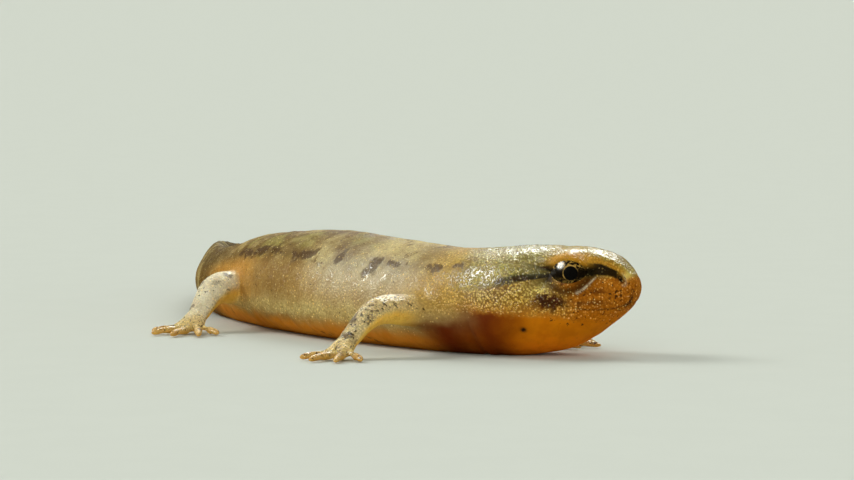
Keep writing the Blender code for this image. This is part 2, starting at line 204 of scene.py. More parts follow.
def lattice_noise(points, size, seed):
    """Smooth random values from -1 to 1: a random value at each corner of a lattice of that
    size, mixed by eased steps along the three axes."""
    cell = points / size + 31.7 * seed
    low = np.floor(cell).astype(np.int64)
    part = cell - low
    part = part * part * (3 - 2 * part)
    total = np.zeros(len(points))
    for corner in np.ndindex(2, 2, 2):
        # Large primes scramble the corner's three whole numbers into one of 31 bits.
        key = (low + corner) @ np.array([73856093, 19349663, 83492791]) + 977 * seed
        key = (key ^ (key >> 13)) * 1274126177 & 0x7FFFFFFF
        key = (key ^ (key >> 11)) * 668265263 & 0x7FFFFFFF
        share = np.prod(np.where(corner, part, 1 - part), axis=1)
        total += share * (key / 0x3FFFFFFF - 1)
    return total


def layered_noise(points, size, seed):
    """Lattice noise, with more at half and at a quarter of the size."""
    return (
        lattice_noise(points, size, seed)
        + 0.5 * lattice_noise(points, size / 2, seed + 1)
        + 0.25 * lattice_noise(points, size / 4, seed + 2)
    ) / 1.75


# --- the body's shape


def heading(along):
    """The direction that the body points in at each place, in radians from +X."""
    turned = (
        NECK_TURN * ease(along, NECK_BEND_FROM, NECK_BEND_TO)
        + TRUNK_TURN * ease(along, NECK_BEND_TO, HIP)
        + TAIL_ROOT_TURN * ease(along, TAIL_BEND_FROM, TAIL_BEND_TO)
        + TAIL_CURL * ease(along, TAIL_BEND_TO, TOTAL_LENGTH)
    )
    return -np.radians(turned)


def spine(along):
    """Points (x, y) of the spine, found by adding up short steps backwards from the snout."""
    fine = np.linspace(0, TOTAL_LENGTH, SPINE_STEPS + 1)
    angle = heading(fine)
    middle = (angle[1:] + angle[:-1]) / 2
    step = fine[1] - fine[0]
    x = np.concatenate([[0], -np.cumsum(np.cos(middle)) * step])
    y = np.concatenate([[0], -np.cumsum(np.sin(middle)) * step])
    origin = [np.interp(MID_TRUNK, fine, line) for line in (x, y)]
    return np.interp(along, fine, x) - origin[0], np.interp(along, fine, y) - origin[1]


def rounding(along):
    """How full the section is: a quarter ellipse at the snout and at the tail's tip."""
    snout = np.clip(along / SNOUT_ROUND, 0, 1)
    tip = np.clip((TOTAL_LENGTH - along) / TIP_ROUND, 0, 1)
    return np.sqrt(1 - (1 - snout) ** 2) * np.sqrt(1 - (1 - tip) ** 2)


def section_sizes(along):
    """Half width, top, bottom, widest height, crown and keel at each place."""
    table = np.array([place[1:] for place in PLACES])
    half, top, bottom, widest, crown, keel = (
        smooth_through(table[:, 0], table[:, k], along) for k in range(1, 7)
    )
    full = rounding(along)
    end_height = np.where(along < MID_TRUNK, SNOUT_HEIGHT, TIP_HEIGHT)
    top, bottom, widest = (end_height + (z - end_height) * full for z in (top, bottom, widest))
    return half * full, top, bottom, widest, crown, keel


def section(along, turn):
    """One side of the outline across the spine, as (side, height). It is a superellipse: the side
    is the half width times a power of the turn's cosine, and the height is the widest place's
    plus its reach times a power of the sine, never under the floor. The brow adds a bell curve
    round the eye to the side."""
    half, top, bottom, widest, crown, keel = section_sizes(along)
    c, s = np.cos(turn), np.sin(turn)
    power = np.where(s >= 0, crown, keel)
    reach = np.where(s >= 0, top - widest, widest - bottom)
    side = np.abs(c) ** (2 / power) * half
    height = widest + np.sign(s) * np.abs(s) ** (2 / power) * reach
    brow = BROW_OUT * hump(along - EYE_ALONG, 1.5) * hump(height - EYE_HEIGHT, 1.0)
    return side + brow * np.abs(c), np.maximum(height, 0)


def ring_places():
    """How far along the spine each ring lies: close together at the blunt snout, evenly spaced
    over the face, and in longer steps down the trunk and the tail."""
    nose = SNOUT_ROUND * (1 - np.cos(np.linspace(POLE_GAP, math.pi / 2, NOSE_RINGS)))
    places, steps = zip(*RING_STEPS)
    body = [SNOUT_ROUND]
    while body[-1] < TOTAL_LENGTH - TIP_ROUND:
        body.append(body[-1] + float(np.interp(body[-1], places, steps)))
    length = TOTAL_LENGTH - TIP_ROUND - SNOUT_ROUND
    body = SNOUT_ROUND + (np.array(body) - SNOUT_ROUND) * length / (body[-1] - SNOUT_ROUND)
    sweep = np.linspace(0, math.pi / 2 - POLE_GAP, TIP_RINGS)
    tip = TOTAL_LENGTH - TIP_ROUND * (1 - np.sin(sweep))
    return np.concatenate([nose[:-1], body, tip[1:]])


def crowding(along, height):
    """How many times closer than elsewhere the columns stand, with bell curves over the mouth's
    line and over the eye."""
    on_mouth = hump(height - line_at(MOUTH, along), 0.22)
    on_mouth *= ease(along, 0.5, 1.4) * ease(along, 7.0, 5.4)
    on_eye = hump(height - EYE_HEIGHT, 0.95) * hump(along - EYE_ALONG, 2.4)
    return 1 + 2.2 * on_mouth + 1.5 * on_eye


def column_turns(along):
    """The turn of each column on each ring, so that the crowded columns share out the outline's
    length. It adds up the length of short steps round, each times its crowding."""
    fine = np.linspace(math.pi / 2, -math.pi / 2, OUTLINE_STEPS + 1)
    side, height = section(along[:, None], fine[None, :])
    step = np.hypot(np.diff(side), np.diff(height))
    middle = (height[:, 1:] + height[:, :-1]) / 2
    length = np.cumsum(step * crowding(along[:, None], middle), axis=1)
    length = np.pad(length, ((0, 0), (1, 0))) / length[:, -1:]
    even = np.linspace(0, 1, HALF_COLUMNS + 1)
    return np.array([np.interp(even, row, fine) for row in length])


def eye_opening(u, v):
    """How far inside the almond of the eye's opening a place on the ball is, less than nothing
    outside. Its edges are a power of a half circle above and below a level middle line."""
    bow = np.clip(1 - (u / OPENING_HALF) ** 2, 0, 1) ** OPENING_POWER
    over = OPENING_MIDDLE + OPENING_UP * bow - v
    under = v - OPENING_MIDDLE + OPENING_DOWN * bow
    return np.minimum(over, under) - np.maximum(np.abs(u) - OPENING_HALF, 0)


def draw_lids(along, side, height):
    """The skin round the eye. Seen from the ball's centre, each point keeps its direction and is
    pushed out or in: never inside the ball, close on it near the opening as the lids, and
    well under its surface in the opening."""
    u, v, w = EYE_ALONG - along, height - EYE_HEIGHT, side - EYE_SIDE
    far = np.maximum(np.sqrt(u * u + v * v + w * w), 0.2)
    inside = eye_opening(u / far * EYE_RADIUS, v / far * EYE_RADIUS)
    inside = np.where(w > 0.1, inside, -2.0)
    covered = soft_max(far, EYE_RADIUS + 0.09, 0.12)
    away = np.maximum(-inside, 0)
    upper = ease(v, 0.0, 0.5)
    near = hump(away, LID_REACH * (1 - 0.4 * upper)) * (w > 0)
    thick = LID_THICK + 0.06 * upper
    outer = covered + (EYE_RADIUS + thick - covered) * near
    crease = hump(away - 0.34 - 0.06 * upper, 0.09) * (w > 0.3)
    outer -= (0.05 + 0.03 * upper) * crease
    dive = ease(inside, -0.03, 0.20)
    wanted = outer + (EYE_RADIUS - 0.30 - outer) * dive
    pushed = np.where(far < 3.2, wanted / far, 1.0)
    return EYE_ALONG - u * pushed, EYE_SIDE + w * pushed, EYE_HEIGHT + v * pushed


def body_grid():
    """The skin round the spine: a ring of columns at each place along, from the back's middle
    line down the left side to the belly's and up the right."""
    rings = ring_places()
    turn = column_turns(rings)
    along = np.repeat(rings[:, None], HALF_COLUMNS + 1, axis=1)
    side, height = section(along, turn)
    down = 0.5 - turn / math.pi
    near_eye = np.abs(along - EYE_ALONG) < LIDS_WITHIN
    drawn = zip(draw_lids(along, side, height), (along, side, height))
    along, side, height = (np.where(near_eye, new, old) for new, old in drawn)
    left = {"along": along, "side": side, "height": height, "down": down}
    whole = {}
    for name, half in left.items():
        mirrored = half[:, -2:0:-1] * (-1 if name == "side" else 1)
        whole[name] = np.hstack([half, mirrored])
    x, y = spine(whole["along"])
    angle = heading(whole["along"])
    x, y = x - np.sin(angle) * whole["side"], y + np.cos(angle) * whole["side"]
    return np.stack([x, y, np.maximum(whole["height"], 0)], axis=-1), whole


# --- the legs


def directions(points):
    """The direction of travel at each point of a path."""
    ahead = np.gradient(np.asarray(points, float), axis=0)
    return ahead / np.linalg.norm(ahead, axis=1, keepdims=True)


def across_path(ahead):
    """The level and the upward direction across each step of a path."""
    level = np.cross(ahead, [0.0, 0.0, 1.0])
    level /= np.linalg.norm(level, axis=-1, keepdims=True)
    return level, np.cross(level, ahead)


def limb_path(joints):
    """A path through a leg's joints as many short steps, its corners rounded by averaging.
    It returns the points, how far each is along, and how far each joint is."""
    joints = np.asarray(joints, float)
    spans = np.linalg.norm(np.diff(joints, axis=0), axis=1)
    at = np.concatenate([[0], np.cumsum(spans)])
    along = np.linspace(0, at[-1], LIMB_STEPS + 1)
    points = along_path(joints, at, along)
    for _ in range(int(2 * (LIMB_SOFTNESS / along[1]) ** 2)):
        points[1:-1] = (points[:-2] + 2 * points[1:-1] + points[2:]) / 4
    return points, along, at


def along_path(values, along, here):
    """A path's points or directions at places between its steps, in straight lines."""
    return np.stack([np.interp(here, along, values[:, k]) for k in range(3)], axis=-1)


class Skin:
    """The skin's points and faces as they are gathered, with facts about each point: where it is
    on the body (along, side, height, and down from 0 at the back to 1 at the belly), how far
    down a leg (limb, from 0 at the trunk to 1 at the wrist, 2 at the palm's end and 3 at a
    toe's tip), and which way round the leg (under, from -1 on top to 1 beneath)."""

    FACTS = ("along", "side", "height", "down", "limb", "under")

    def __init__(self):
        self.points, self.facts, self.quads, self.triangles, self.seams = [], [], [], [], []
        self.count = 0

    def add(self, points, **facts):
        """Adds points and returns their numbers, in the same shape."""
        shape = points.shape[:-1]
        self.points.append(points.reshape(-1, 3))
        given = [np.broadcast_to(facts.get(name, 0.0), shape).reshape(-1) for name in self.FACTS]
        self.facts.append(np.stack(given, axis=1))
        numbers = np.arange(self.count, self.count + math.prod(shape)).reshape(shape)
        self.count += numbers.size
        return numbers

    def place(self, numbers):
        """The points of those numbers."""
        return np.concatenate(self.points)[numbers]

    def strip(self, rings, keep=...):
        """Four-sided faces between rows of points, round each row, or those that are kept."""
        after = np.roll(rings, -1, axis=1)
        quads = np.stack([rings[:-1], after[:-1], after[1:], rings[1:]], axis=-1)
        self.quads.append(quads[keep].reshape(-1, 4))

    def cap(self, ring, point, **facts):
        """A fan of triangles from a ring to a new point over its middle."""
        top = self.add(np.asarray(point, float)[None], **facts)[0]
        after = np.roll(ring, -1)
        self.triangles.append(np.stack([ring, after, np.full_like(ring, top)], axis=-1))


def window_edge(rows, columns):
    """The grid places round a window's edge, in order, as arrays of rows and columns."""
    (top, bottom), (left, right) = rows, columns
    wide, tall = right - left, bottom - top
    row = np.r_[[top] * wide, top:bottom, [bottom] * wide, bottom:top:-1]
    column = np.r_[left:right, [right] * tall, right:left:-1, [left] * tall]
    return row, column


def turns_of(points, centre, level, up):
    """The angle of each point of a loop round a centre, growing all the way round."""
    out = points - centre
    return np.unwrap(np.arctan2(out @ up, out @ level))


def level_way(angle):
    """The level direction at an angle from +X."""
    return np.array([math.cos(angle), math.sin(angle), 0.0])


def even_turns(count):
    """That many angles, evenly spaced round a full turn."""
    return 2 * math.pi * np.arange(count) / count


def leg_joints(shape, root, side, joint, end, pointing):
    """Where a leg starts in the trunk, its elbow or knee, its wrist or ankle and its palm's end,
    and the direction of its foot."""
    start = np.array([*spine(root), 0.0])
    angle = float(heading(root))
    ahead = level_way(angle)
    across = np.array([-ahead[1], ahead[0], 0.0]) * side

    def place(forward, sideways, height):
        return start + ahead * forward + across * sideways + [0, 0, height]

    toward = angle + math.radians(pointing)
    wrist = place(*end)
    front = wrist + level_way(toward) * shape["palm"]
    front[2] = PALM_HEIGHT
    return [place(0.0, LEG_ROOT_SIDE, LEG_ROOT_HEIGHT), place(*joint), wrist, front], toward


def ellipses(middle, level, up, turns, widths, heights):
    """Rings of points round the middles. From its middle each point is the turn's cosine times
    the half width along the level direction, and its sine times the half height upwards."""
    level_part = level * (np.cos(turns) * widths[:, None])[..., None]
    return middle[:, None] + (level_part + up * (np.sin(turns) * heights[:, None])[..., None])


def bridge(loop, rings, count):
    """Rings that lead straight from a loop of points to the first of the rings, then the rings."""
    share = (np.arange(1, count + 1) / (count + 1))[:, None, None]
    return np.concatenate([loop * (1 - share) + rings[0] * share, rings])


SEARCH_RINGS, SEARCH_MARGIN, PATH_SKIP = 24, 10, 4  # where a leg's window is looked for
BRIDGE_REACH, BRIDGE_RINGS, LIMB_RING_STEP = 1.1, 6, 0.15
PALM_END_BEFORE, LEG_SEAM = 0.25, 0.75


def leg_window(grid, path, root, side, rows, columns):
    """The rows and columns of the window that a leg leaves by, and the path's step there. It is
    centred where the leg's path passes nearest to the grid."""
    low = int(np.abs(ring_places() - root).argmin()) - SEARCH_RINGS
    first = SEARCH_MARGIN + (0 if side > 0 else HALF_COLUMNS)
    flank = grid[low : low + 2 * SEARCH_RINGS, first : first + HALF_COLUMNS - 2 * SEARCH_MARGIN]
    gaps = np.linalg.norm(flank[:, :, None] - path[None, None, ::PATH_SKIP], axis=-1)
    row, column, step = (int(place) for place in np.unravel_index(gaps.argmin(), gaps.shape))
    row, column = row + low - rows // 2, column + first - columns // 2
    return (row, row + rows), (column, column + columns), PATH_SKIP * step


def grow_leg(skin, grid, numbers, leg, keep):
    """A leg on the skin: a tube of rings from its window's edge to the palm's end, then toes."""
    shape, digits, root, side, joint, end, pointing = leg[1:]
    joints, toward = leg_joints(shape, root, side, joint, end, pointing)
    path, along, at = limb_path(joints)
    rows, columns, step = leg_window(grid, path, root, side, *shape["window"])
    keep[slice(*rows), slice(*columns)] = False
    edge = numbers[window_edge(rows, columns)]
    start = along[step] + BRIDGE_REACH
    here = np.linspace(start, at[3] - PALM_END_BEFORE, int((at[3] - start) / LIMB_RING_STEP))
    widths, heights = (smooth_through(at, table, here) for table in shape["half"])
    middle = along_path(path, along, here)
    ahead = along_path(directions(path), along, here)
    ahead /= np.linalg.norm(ahead, axis=-1, keepdims=True)
    level, up = across_path(ahead)
    found = turns_of(skin.place(edge), middle[0], level[0], up[0])
    if found[-1] < found[0]:
        edge, found = edge[::-1], found[::-1]
    even = even_turns(len(edge))
    edge = np.roll(edge, round(np.mean(found - even) / even[1]))
    rings = ellipses(middle, level[:, None], up[:, None], even, widths, heights)
    loop = skin.place(edge)
    rings = bridge(loop, rings, BRIDGE_RINGS)
    share = np.concatenate([np.linspace(along[step], start, BRIDGE_RINGS + 1)[:-1], here])
    limb = np.interp(share, [along[step], at[1], at[2], at[3]], [0.02, 0.5, 1.0, 2.0])
    on_body = dict(zip(Skin.FACTS, np.concatenate(skin.facts)[edge].T[:4]))
    leg_numbers = skin.add(rings, **on_body, limb=limb[:, None], under=-np.sin(even))
    skin.seams.append((loop, LEG_SEAM))
    skin.strip(np.vstack([edge[None], leg_numbers]))
    grow_digits(skin, leg_numbers[-1], path[-1], toward, digits, shape)


def digit_loops(ring, count, skin, web):
    """Shares a palm's last ring among its toes. Each toe's loop runs over the top, down the web
    to the next toe, back underneath and up the web on its other side."""
    half = len(ring) // 2
    each = half // count
    over, beneath = ring[: half + 1], np.append(ring[0], ring[: half - 1 : -1])
    webs = []
    for number in range(1, count):
        ends = skin.place(np.array([over[number * each], beneath[number * each]]))
        webs.append(skin.add((ends.mean(axis=0) - web)[None], limb=2.0)[0])
    loops = []
    for number in range(count):
        span = slice(number * each, (number + 1) * each + 1)
        right, left = webs[number : number + 1], webs[max(number - 1, 0) : number]
        low = beneath[span][::-1][0 if right else 1 : None if left else -1]
        loops.append(np.concatenate([over[span], right, low, left]).astype(int))
    return loops


DIGIT_BRIDGE, DIGIT_BRIDGE_RINGS, DIGIT_STEP = 0.22, 2, 0.115
DIGIT_TIP_RINGS, DIGIT_POLE_GAP, DIGIT_SEAM = 6, 0.16, 0.34
WEB_DEPTH, ROOT_FAN = 0.12, 1.5
DIGIT_FLAT, DIGIT_SWELL, DIGIT_SWELLS, TURN_REACH = 0.94, 0.07, 2.4, 0.6


def grow_digits(skin, ring, front, pointing, digits, shape):
    """Fingers or toes on the palm's last ring, fanned out in their order across it."""
    ahead = level_way(pointing)
    across = np.array([-ahead[1], ahead[0], 0.0]) * shape["half"][0][-1] * DIGIT_SPREAD
    first = skin.place(ring[:1])[0]
    order = digits if (first - front) @ across < 0 else digits[::-1]
    loops = digit_loops(ring, len(digits), skin, ahead * WEB_DEPTH)
    for (spread, length), loop in zip(order, loops):
        root = front - ahead * DIGIT_ROOT + across * math.sin(math.radians(spread * ROOT_FAN))
        along = level_way(pointing + math.radians(spread))
        grow_digit(skin, loop, root, along, length + DIGIT_ROOT, shape["toe"])
    skin.seams.append((skin.place(ring), DIGIT_SEAM))


def grow_digit(skin, loop, root, along, whole, toe):
    """A slim tube level with the sole. Its thickness falls evenly, times a cosine's swell at the
    joints, and ends as a quarter ellipse. Its height is an arch of a half sine."""
    reach = np.arange(DIGIT_ROOT + DIGIT_BRIDGE, whole * DIGIT_TIP, DIGIT_STEP)
    sweep = np.linspace(0, math.pi / 2 - DIGIT_POLE_GAP, DIGIT_TIP_RINGS + 1)[1:]
    reach = np.concatenate([reach, whole * (DIGIT_TIP + (1 - DIGIT_TIP) * np.sin(sweep))])
    t = reach / whole
    tip = np.clip((t - DIGIT_TIP) / (1 - DIGIT_TIP), 0, 0.995)
    joints = 1 + DIGIT_SWELL * np.cos(2 * math.pi * t * DIGIT_SWELLS) - 0.05 * ease(t, 0.5, 0.9)
    thick = toe * (1.08 - DIGIT_TAPER * t) * np.sqrt(1 - tip**2) * joints
    line = root + along * reach[:, None]
    line[:, 2] = toe - DIGIT_SINK + DIGIT_ARCH * np.sin(math.pi * t)
    level, up = across_path(along)
    places = skin.place(loop)
    found = turns_of(places, places.mean(axis=0), level, up)
    even = found[0] + np.sign(found[-1] - found[0]) * even_turns(len(loop))
    even += np.mean(found - even)
    share = ease(reach, reach[0], reach[0] + TURN_REACH)[:, None]
    turns = found * (1 - share) + even * share
    rings = ellipses(line, level, up, turns, thick, thick * DIGIT_FLAT)
    rings = bridge(places, rings, DIGIT_BRIDGE_RINGS)
    depth = np.concatenate([[2.0] * DIGIT_BRIDGE_RINGS, 2 + t])
    under = np.concatenate([np.repeat(found[None], DIGIT_BRIDGE_RINGS, axis=0), turns])
    numbers = skin.add(rings, limb=depth[:, None], under=-np.sin(under))
    skin.strip(np.vstack([loop[None], numbers]))
    end = root + along * whole
    end[2] = line[-1, 2]
    skin.cap(numbers[-1], end, limb=3.0)


# --- joining, smoothing and carving


def edges_of(quads, triangles):
    """Every pair of neighbouring points, both ways round."""
    pairs = [quads[:, [k, (k + 1) % 4]] for k in range(4)]
    pairs += [triangles[:, [k, (k + 1) % 3]] for k in range(3)]
    pairs = np.concatenate(pairs)
    return np.concatenate([pairs, pairs[:, ::-1]])


def relax(values, edges, loose, rounds):
    """Values drawn towards their neighbours' mean, over and over, where the skin is loose."""
    here, beside = edges.T
    size = len(values)
    counts = np.maximum(np.bincount(here, minlength=size), 1)[:, None]
    for _ in range(rounds):
        sums = np.stack([np.bincount(here, column[beside], size) for column in values.T], axis=1)
        values = values + (sums / counts - values) * loose[:, None]
    return values


def looseness(points, seams):
    """Up to 1 on the seams between grids, falling off as a bell curve of the distance to them."""
    loose = np.zeros(len(points))
    for loop, reach in seams:
        centre = loop.mean(axis=0)
        close = np.linalg.norm(points - centre, axis=1) < np.ptp(loop, axis=0).max() + 2 * reach
        gaps = np.linalg.norm(points[close][:, None] - loop[None, ::2], axis=-1).min(axis=1)
        loose[close] = np.maximum(loose[close], hump(gaps, reach))
    return loose


def normals_of(points, quads, triangles):
    """The outward direction at each point: the sum of its faces' cross products."""
    total = np.zeros_like(points)
    for faces in (quads, triangles):
        sides = faces.shape[1]
        a, b, c, d = (points[faces[:, k % sides]] for k in range(4))
        cross = np.cross(c - a, d - b)
        for k, axis in np.ndindex(sides, 3):
            total[:, axis] += np.bincount(faces[:, k], cross[:, axis], len(points))
    return total / np.maximum(np.linalg.norm(total, axis=1, keepdims=True), 1e-12)


def nostril_gap(along, height):
    """How far a place on the snout is from the nostril, measured longer across its slant."""
    forward, up = along - NOSTRIL[0], height - NOSTRIL[1]
    return np.hypot(forward, 0.8 * up - 0.6 * forward)


def head_relief(along, height):
    """How far the head's skin stands out, in mm: a narrow groove along the mouth with the upper
    lip over it, a ridge round the muzzle, a fold under the eye, and the nostril's pit."""
    mouth = height - line_at(MOUTH, along)
    shut = ease(along, 5.8, 5.2) * (0.35 + 0.65 * ease(along, 0.2, 1.0))
    relief = (0.040 * hump(mouth - 0.17, 0.13) - 0.06 * hump(mouth, 0.055)) * shut
    relief += 0.02 * hump(mouth + 0.16, 0.12) * shut
    relief += 0.03 * hump(np.hypot(along - 5.5, height - 3.38), 0.35)
    canthus = height - line_at(CANTHUS, along)
    ridge = ease(along, 6.2, 5.2) * ease(along, 0.32, 0.60)
    relief += (0.045 * hump(canthus, 0.10) - 0.03 * hump(canthus - 0.24, 0.14)) * ridge
    relief -= 0.03 * hump(canthus + 0.25, 0.16) * ridge * ease(along, 2.8, 2.0)
    fold = height - line_at(EYE_FOLD, along)
    folded = ease(along, 1.9, 2.3) * ease(along, 5.6, 4.6)
    relief += (0.07 * hump(fold + 0.10, 0.08) - 0.07 * hump(fold - 0.04, 0.08)) * folded
    pit = nostril_gap(along, height)
    relief += 0.03 * hump(pit - 0.20, 0.09) - 0.16 * hump(pit, 0.11)
    return relief


def body_relief(along, side, height, down):
    """How far the skin behind the head stands out, in mm: the fold across the throat, wrinkles
    on the inner side of the neck's bend, faint grooves between the ribs, a line down the back,
    the swollen vent and the tail's sharper edges."""
    slant = along - 9.1 - 0.12 * (height - 2.5)
    relief = -0.10 * hump(slant, 0.16) * ease(down, 0.42, 0.6)
    relief += 0.07 * hump(slant + 0.35, 0.25) * ease(down, 0.42, 0.6)
    bent = ease(side, 0.3, 2.2) * hump(along - 10.8, 2.0)
    relief += 0.05 * np.cos(2 * math.pi * (along + 0.15 * height) / 0.75) * bent
    trunk = ease(along, 12.5, 14.5) * ease(along, 35.0, 33.0)
    ribs = hump(down - 0.5, 0.22)
    relief -= 0.13 * hump((along / 1.75 + 0.03 * height) % 1 - 0.5, 0.15) * trunk * ribs
    relief += 0.05 * hump(down, 0.03) * ease(along, 10, 14) * ease(along, 44, 38)
    relief += 0.10 * hump(along - 38.2, 1.1) * ease(down, 0.75, 0.95)
    relief += 0.05 * hump(along - 7.6, 1.2) * hump(down - 0.33, 0.12)
    return relief


def limb_relief(limb):
    """How far a leg's skin stands out, in mm: creases at the elbow or knee and at the wrist."""
    relief = -0.03 * np.cos(2 * math.pi * (limb - 0.5) / 0.075) * hump(limb - 0.5, 0.09)
    relief -= 0.03 * hump(limb - 1.03, 0.06)
    return relief * (limb > 0.05)


def carve(points, facts, normals):
    """Moves every point outwards by its relief and by the skin's fine unevenness, which is a sum
    of lattice noises, and lays what would sink on the floor."""
    along, side, height, down, limb = facts.T[:5]
    on_body = limb < 0.01
    relief = np.where(on_body & (along < 8.0), head_relief(along, height), 0.0)
    relief += np.where(on_body & (along > 6.5), body_relief(along, side, height, down), 0.0)
    relief += limb_relief(limb)
    in_eye = on_body & (eye_gap(points) < 0.10)
    behind = on_body * ease(along, 11.0, 14.0)
    rough = 0.018 * lattice_noise(points, 0.42, 5) * (1 - 0.7 * behind)
    rough += 0.03 * lattice_noise(points, 1.3, 6) + 0.022 * behind * lattice_noise(points, 0.8, 8)
    rough += 0.016 * lattice_noise(points, 0.27, 7) * ease(along, 11.0, 9.0) * on_body
    on_throat = ease(down, 0.55, 0.75) * on_body
    relief += rough * (1 - 0.7 * on_throat) * np.where(limb > 1.8, 0.5, 1.0)
    relief = np.where(in_eye, 0.0, relief)
    moved = points + normals * relief[:, None]
    moved[:, 2] = np.maximum(moved[:, 2], 0)
    return moved


def eye_gap(points):
    """How far each point is from the nearer eye's surface, less than nothing inside it."""
    gaps = [np.linalg.norm(points - centre, axis=1) - EYE_RADIUS for centre in EYE_CENTRES.values()]
    return np.minimum(*gaps)


# --- colours


def paint(red, green, blue):
    """A colour of screen values from 0 to 255, as the linear light that materials take."""
    value = np.array([red, green, blue]) / 255
    return np.where(value < 0.04045, value / 12.92, ((value + 0.055) / 1.055) ** 2.4)


THROAT = paint(204, 118, 8)
# Painted light: the throat's underside painted brighter, as if lit from beneath. Painted shade: the
# back of the throat and the underside of the neck painted deep red-brown.
THROAT_PAINTED_LIGHT = paint(248, 138, 12)
THROAT_PAINTED_SHADE = paint(112, 42, 2)
BELLY = paint(212, 132, 34)
FLANK = paint(190, 152, 84)
FLANK_MIDDLE = paint(140, 104, 50)
FLANK_REAR = paint(206, 144, 50)
# A near-white used only for painted highlights: the wet shoulder's sheen, the glint along the fold
# under the eye, the nostril's front rim and the forelegs' tops. The hind legs' tops take a still
# paler painted highlight.
PAINTED_HIGHLIGHT = paint(236, 222, 190)
THIGH_PAINTED_HIGHLIGHT = paint(250, 240, 214)
CREAM = paint(216, 192, 124)
BACK = paint(126, 96, 42)
TAIL = paint(100, 76, 30)
BACK_PALE = paint(206, 182, 116)
BACK_GREEN = paint(172, 160, 80)
UMBER = paint(34, 22, 12)
GOLD = paint(255, 234, 136)
CHEEK = paint(208, 166, 72)
LIP = paint(188, 112, 22)
MAROON = paint(84, 36, 8)
LOREAL = paint(20, 10, 3)
STRIPE = paint(32, 24, 10)
BROW = paint(178, 150, 62)
BROW_LOW = paint(208, 148, 42)
LID = paint(84, 48, 10)
LEG_TOP = paint(242, 210, 136)
LEG_UNDER = paint(255, 202, 90)
DIGIT = paint(216, 160, 84)


CLEAR = {"granules": 0.0, "specks": 0.0, "blotches": 0.0}


class Pattern:
    """The skin's colours as they are laid on, and how thickly it bears golden granules, dark
    specks and brown blotches, how rough its grain is and how wet it shines, each from 0 to 1."""

    def __init__(self, count, colour, **amounts):
        self.colour = np.tile(colour, (count, 1))
        self.amounts = {name: np.full(count, float(amount)) for name, amount in amounts.items()}

    def lay(self, share, colour=None, **amounts):
        """Mixes a colour and any amounts into what is there, by a share from 0 to 1."""
        share = np.clip(share, 0, 1)
        if colour is not None:
            self.colour += (colour - self.colour) * share[:, None]
        for name, amount in amounts.items():
            self.amounts[name] += (amount - self.amounts[name]) * share

    def cover(self, share, other):
        """Mixes another pattern over this one."""
        self.lay(share, other.colour, **other.amounts)


def between(value, low, high, soft):
    """1 from low to high, with edges as soft as given."""
    return ease(value, low - soft, low + soft) * ease(value, high + soft, high - soft)


def blot(along, height, place, length, tall):
    """A bell-shaped spot on the head at a place along and high."""
    return hump(np.hypot((along - place[0]) / length, (height - place[1]) / tall), 1.0)


def trunk_pattern(points, along, down):
    """Behind the head. Bands follow the way round the trunk from the back's middle line: olive
    brown with broken dark edges, a tan flank, a cream band and an orange belly with dark spots."""
    wander = layered_noise(points, 1.8, 11)
    fine = layered_noise(points, 0.55, 15)
    patch = layered_noise(points, 3.4, 19)
    skin = Pattern(
        len(points), BACK, granules=0.25, specks=0.35, blotches=0.45, grain=0.50, wet=0.20
    )
    lay = skin.lay
    # The back: olive brown with paler and greener patches and a thin line down its middle.
    edge = down + 0.045 * wander + 0.02 * fine
    lay(0.8 * ease(patch + 0.5 * fine, -0.25, 0.5), BACK_PALE)
    lay(0.6 * ease(wander - 0.4 * patch, 0.1, 0.5), BACK_GREEN)
    lay(0.5 * hump(down + 0.01 * wander, 0.016) * ease(wander + fine, -0.3, 0.3), BACK_PALE)
    # The flank, duller at the waist, more orange at the rump and paler over the shoulder.
    lay(ease(edge, 0.27, 0.40), FLANK, blotches=0.30)
    rump = ease(along + 2 * wander, 28.0, 33.0)
    waist = between(along + 2 * wander, 24.0, 30.0, 3.0)
    lay(0.7 * ease(edge, 0.24, 0.40) * waist, FLANK_MIDDLE)
    lay(0.8 * ease(edge, 0.24, 0.40) * rump, FLANK_REAR)
    lay(0.5 * between(along, 13.0, 18.5, 2.0) * ease(edge, 0.28, 0.18), CREAM)
    # The back's broken dark edge, smudges under it, the cream band and a wet shoulder with a painted
    # pale sheen.
    line = hump(edge - 0.275, 0.032) * ease(wander + 0.7 * fine, -0.45, 0.15)
    lay(0.9 * line, BACK, blotches=0.85)
    lay(0.6 * ease(patch + 0.6 * fine, 0.15, 0.6) * hump(edge - 0.40, 0.12), blotches=0.75)
    lay(0.75 * hump(edge - 0.585, 0.055), CREAM, granules=0.35, blotches=0.2)
    # Painted highlight: the wet shoulder's sheen laid on as a pale band, over real wetness and grain.
    wet_painted_sheen = hump(edge - 0.36, 0.15) * between(along, 12.0, 22.0, 3.0)
    lay(0.55 * wet_painted_sheen, PAINTED_HIGHLIGHT)
    lay(wet_painted_sheen, wet=1.0, grain=1.0)
    # The belly, the mottled tail and painted shade under the neck's fold.
    belly = ease(edge, 0.61, 0.73)
    lay(belly, BELLY, granules=0.0, grain=0.15, wet=0.1, blotches=0.36, specks=0.1)
    tail = ease(along, 37.5, 42.0)
    above = ease(edge, 0.92, 0.80)
    lay(0.85 * tail * above, TAIL, granules=0.30, blotches=0.52, grain=0.5, wet=0.0)
    lay(0.5 * tail * above * ease(wander + fine, 0.0, 0.5), BACK_PALE)
    lay(tail, wet=0.0)
    neck = hump(along - 10.2, 1.7)
    # Painted shade under the neck, dark red-brown.
    under = neck * ease(edge, 0.50, 0.62)
    lay(under, THROAT_PAINTED_SHADE, **CLEAR, grain=0.3, wet=0.1)
    lay(0.7 * neck * ease(edge, 0.55, 0.45), CHEEK, granules=0.5)
    return skin


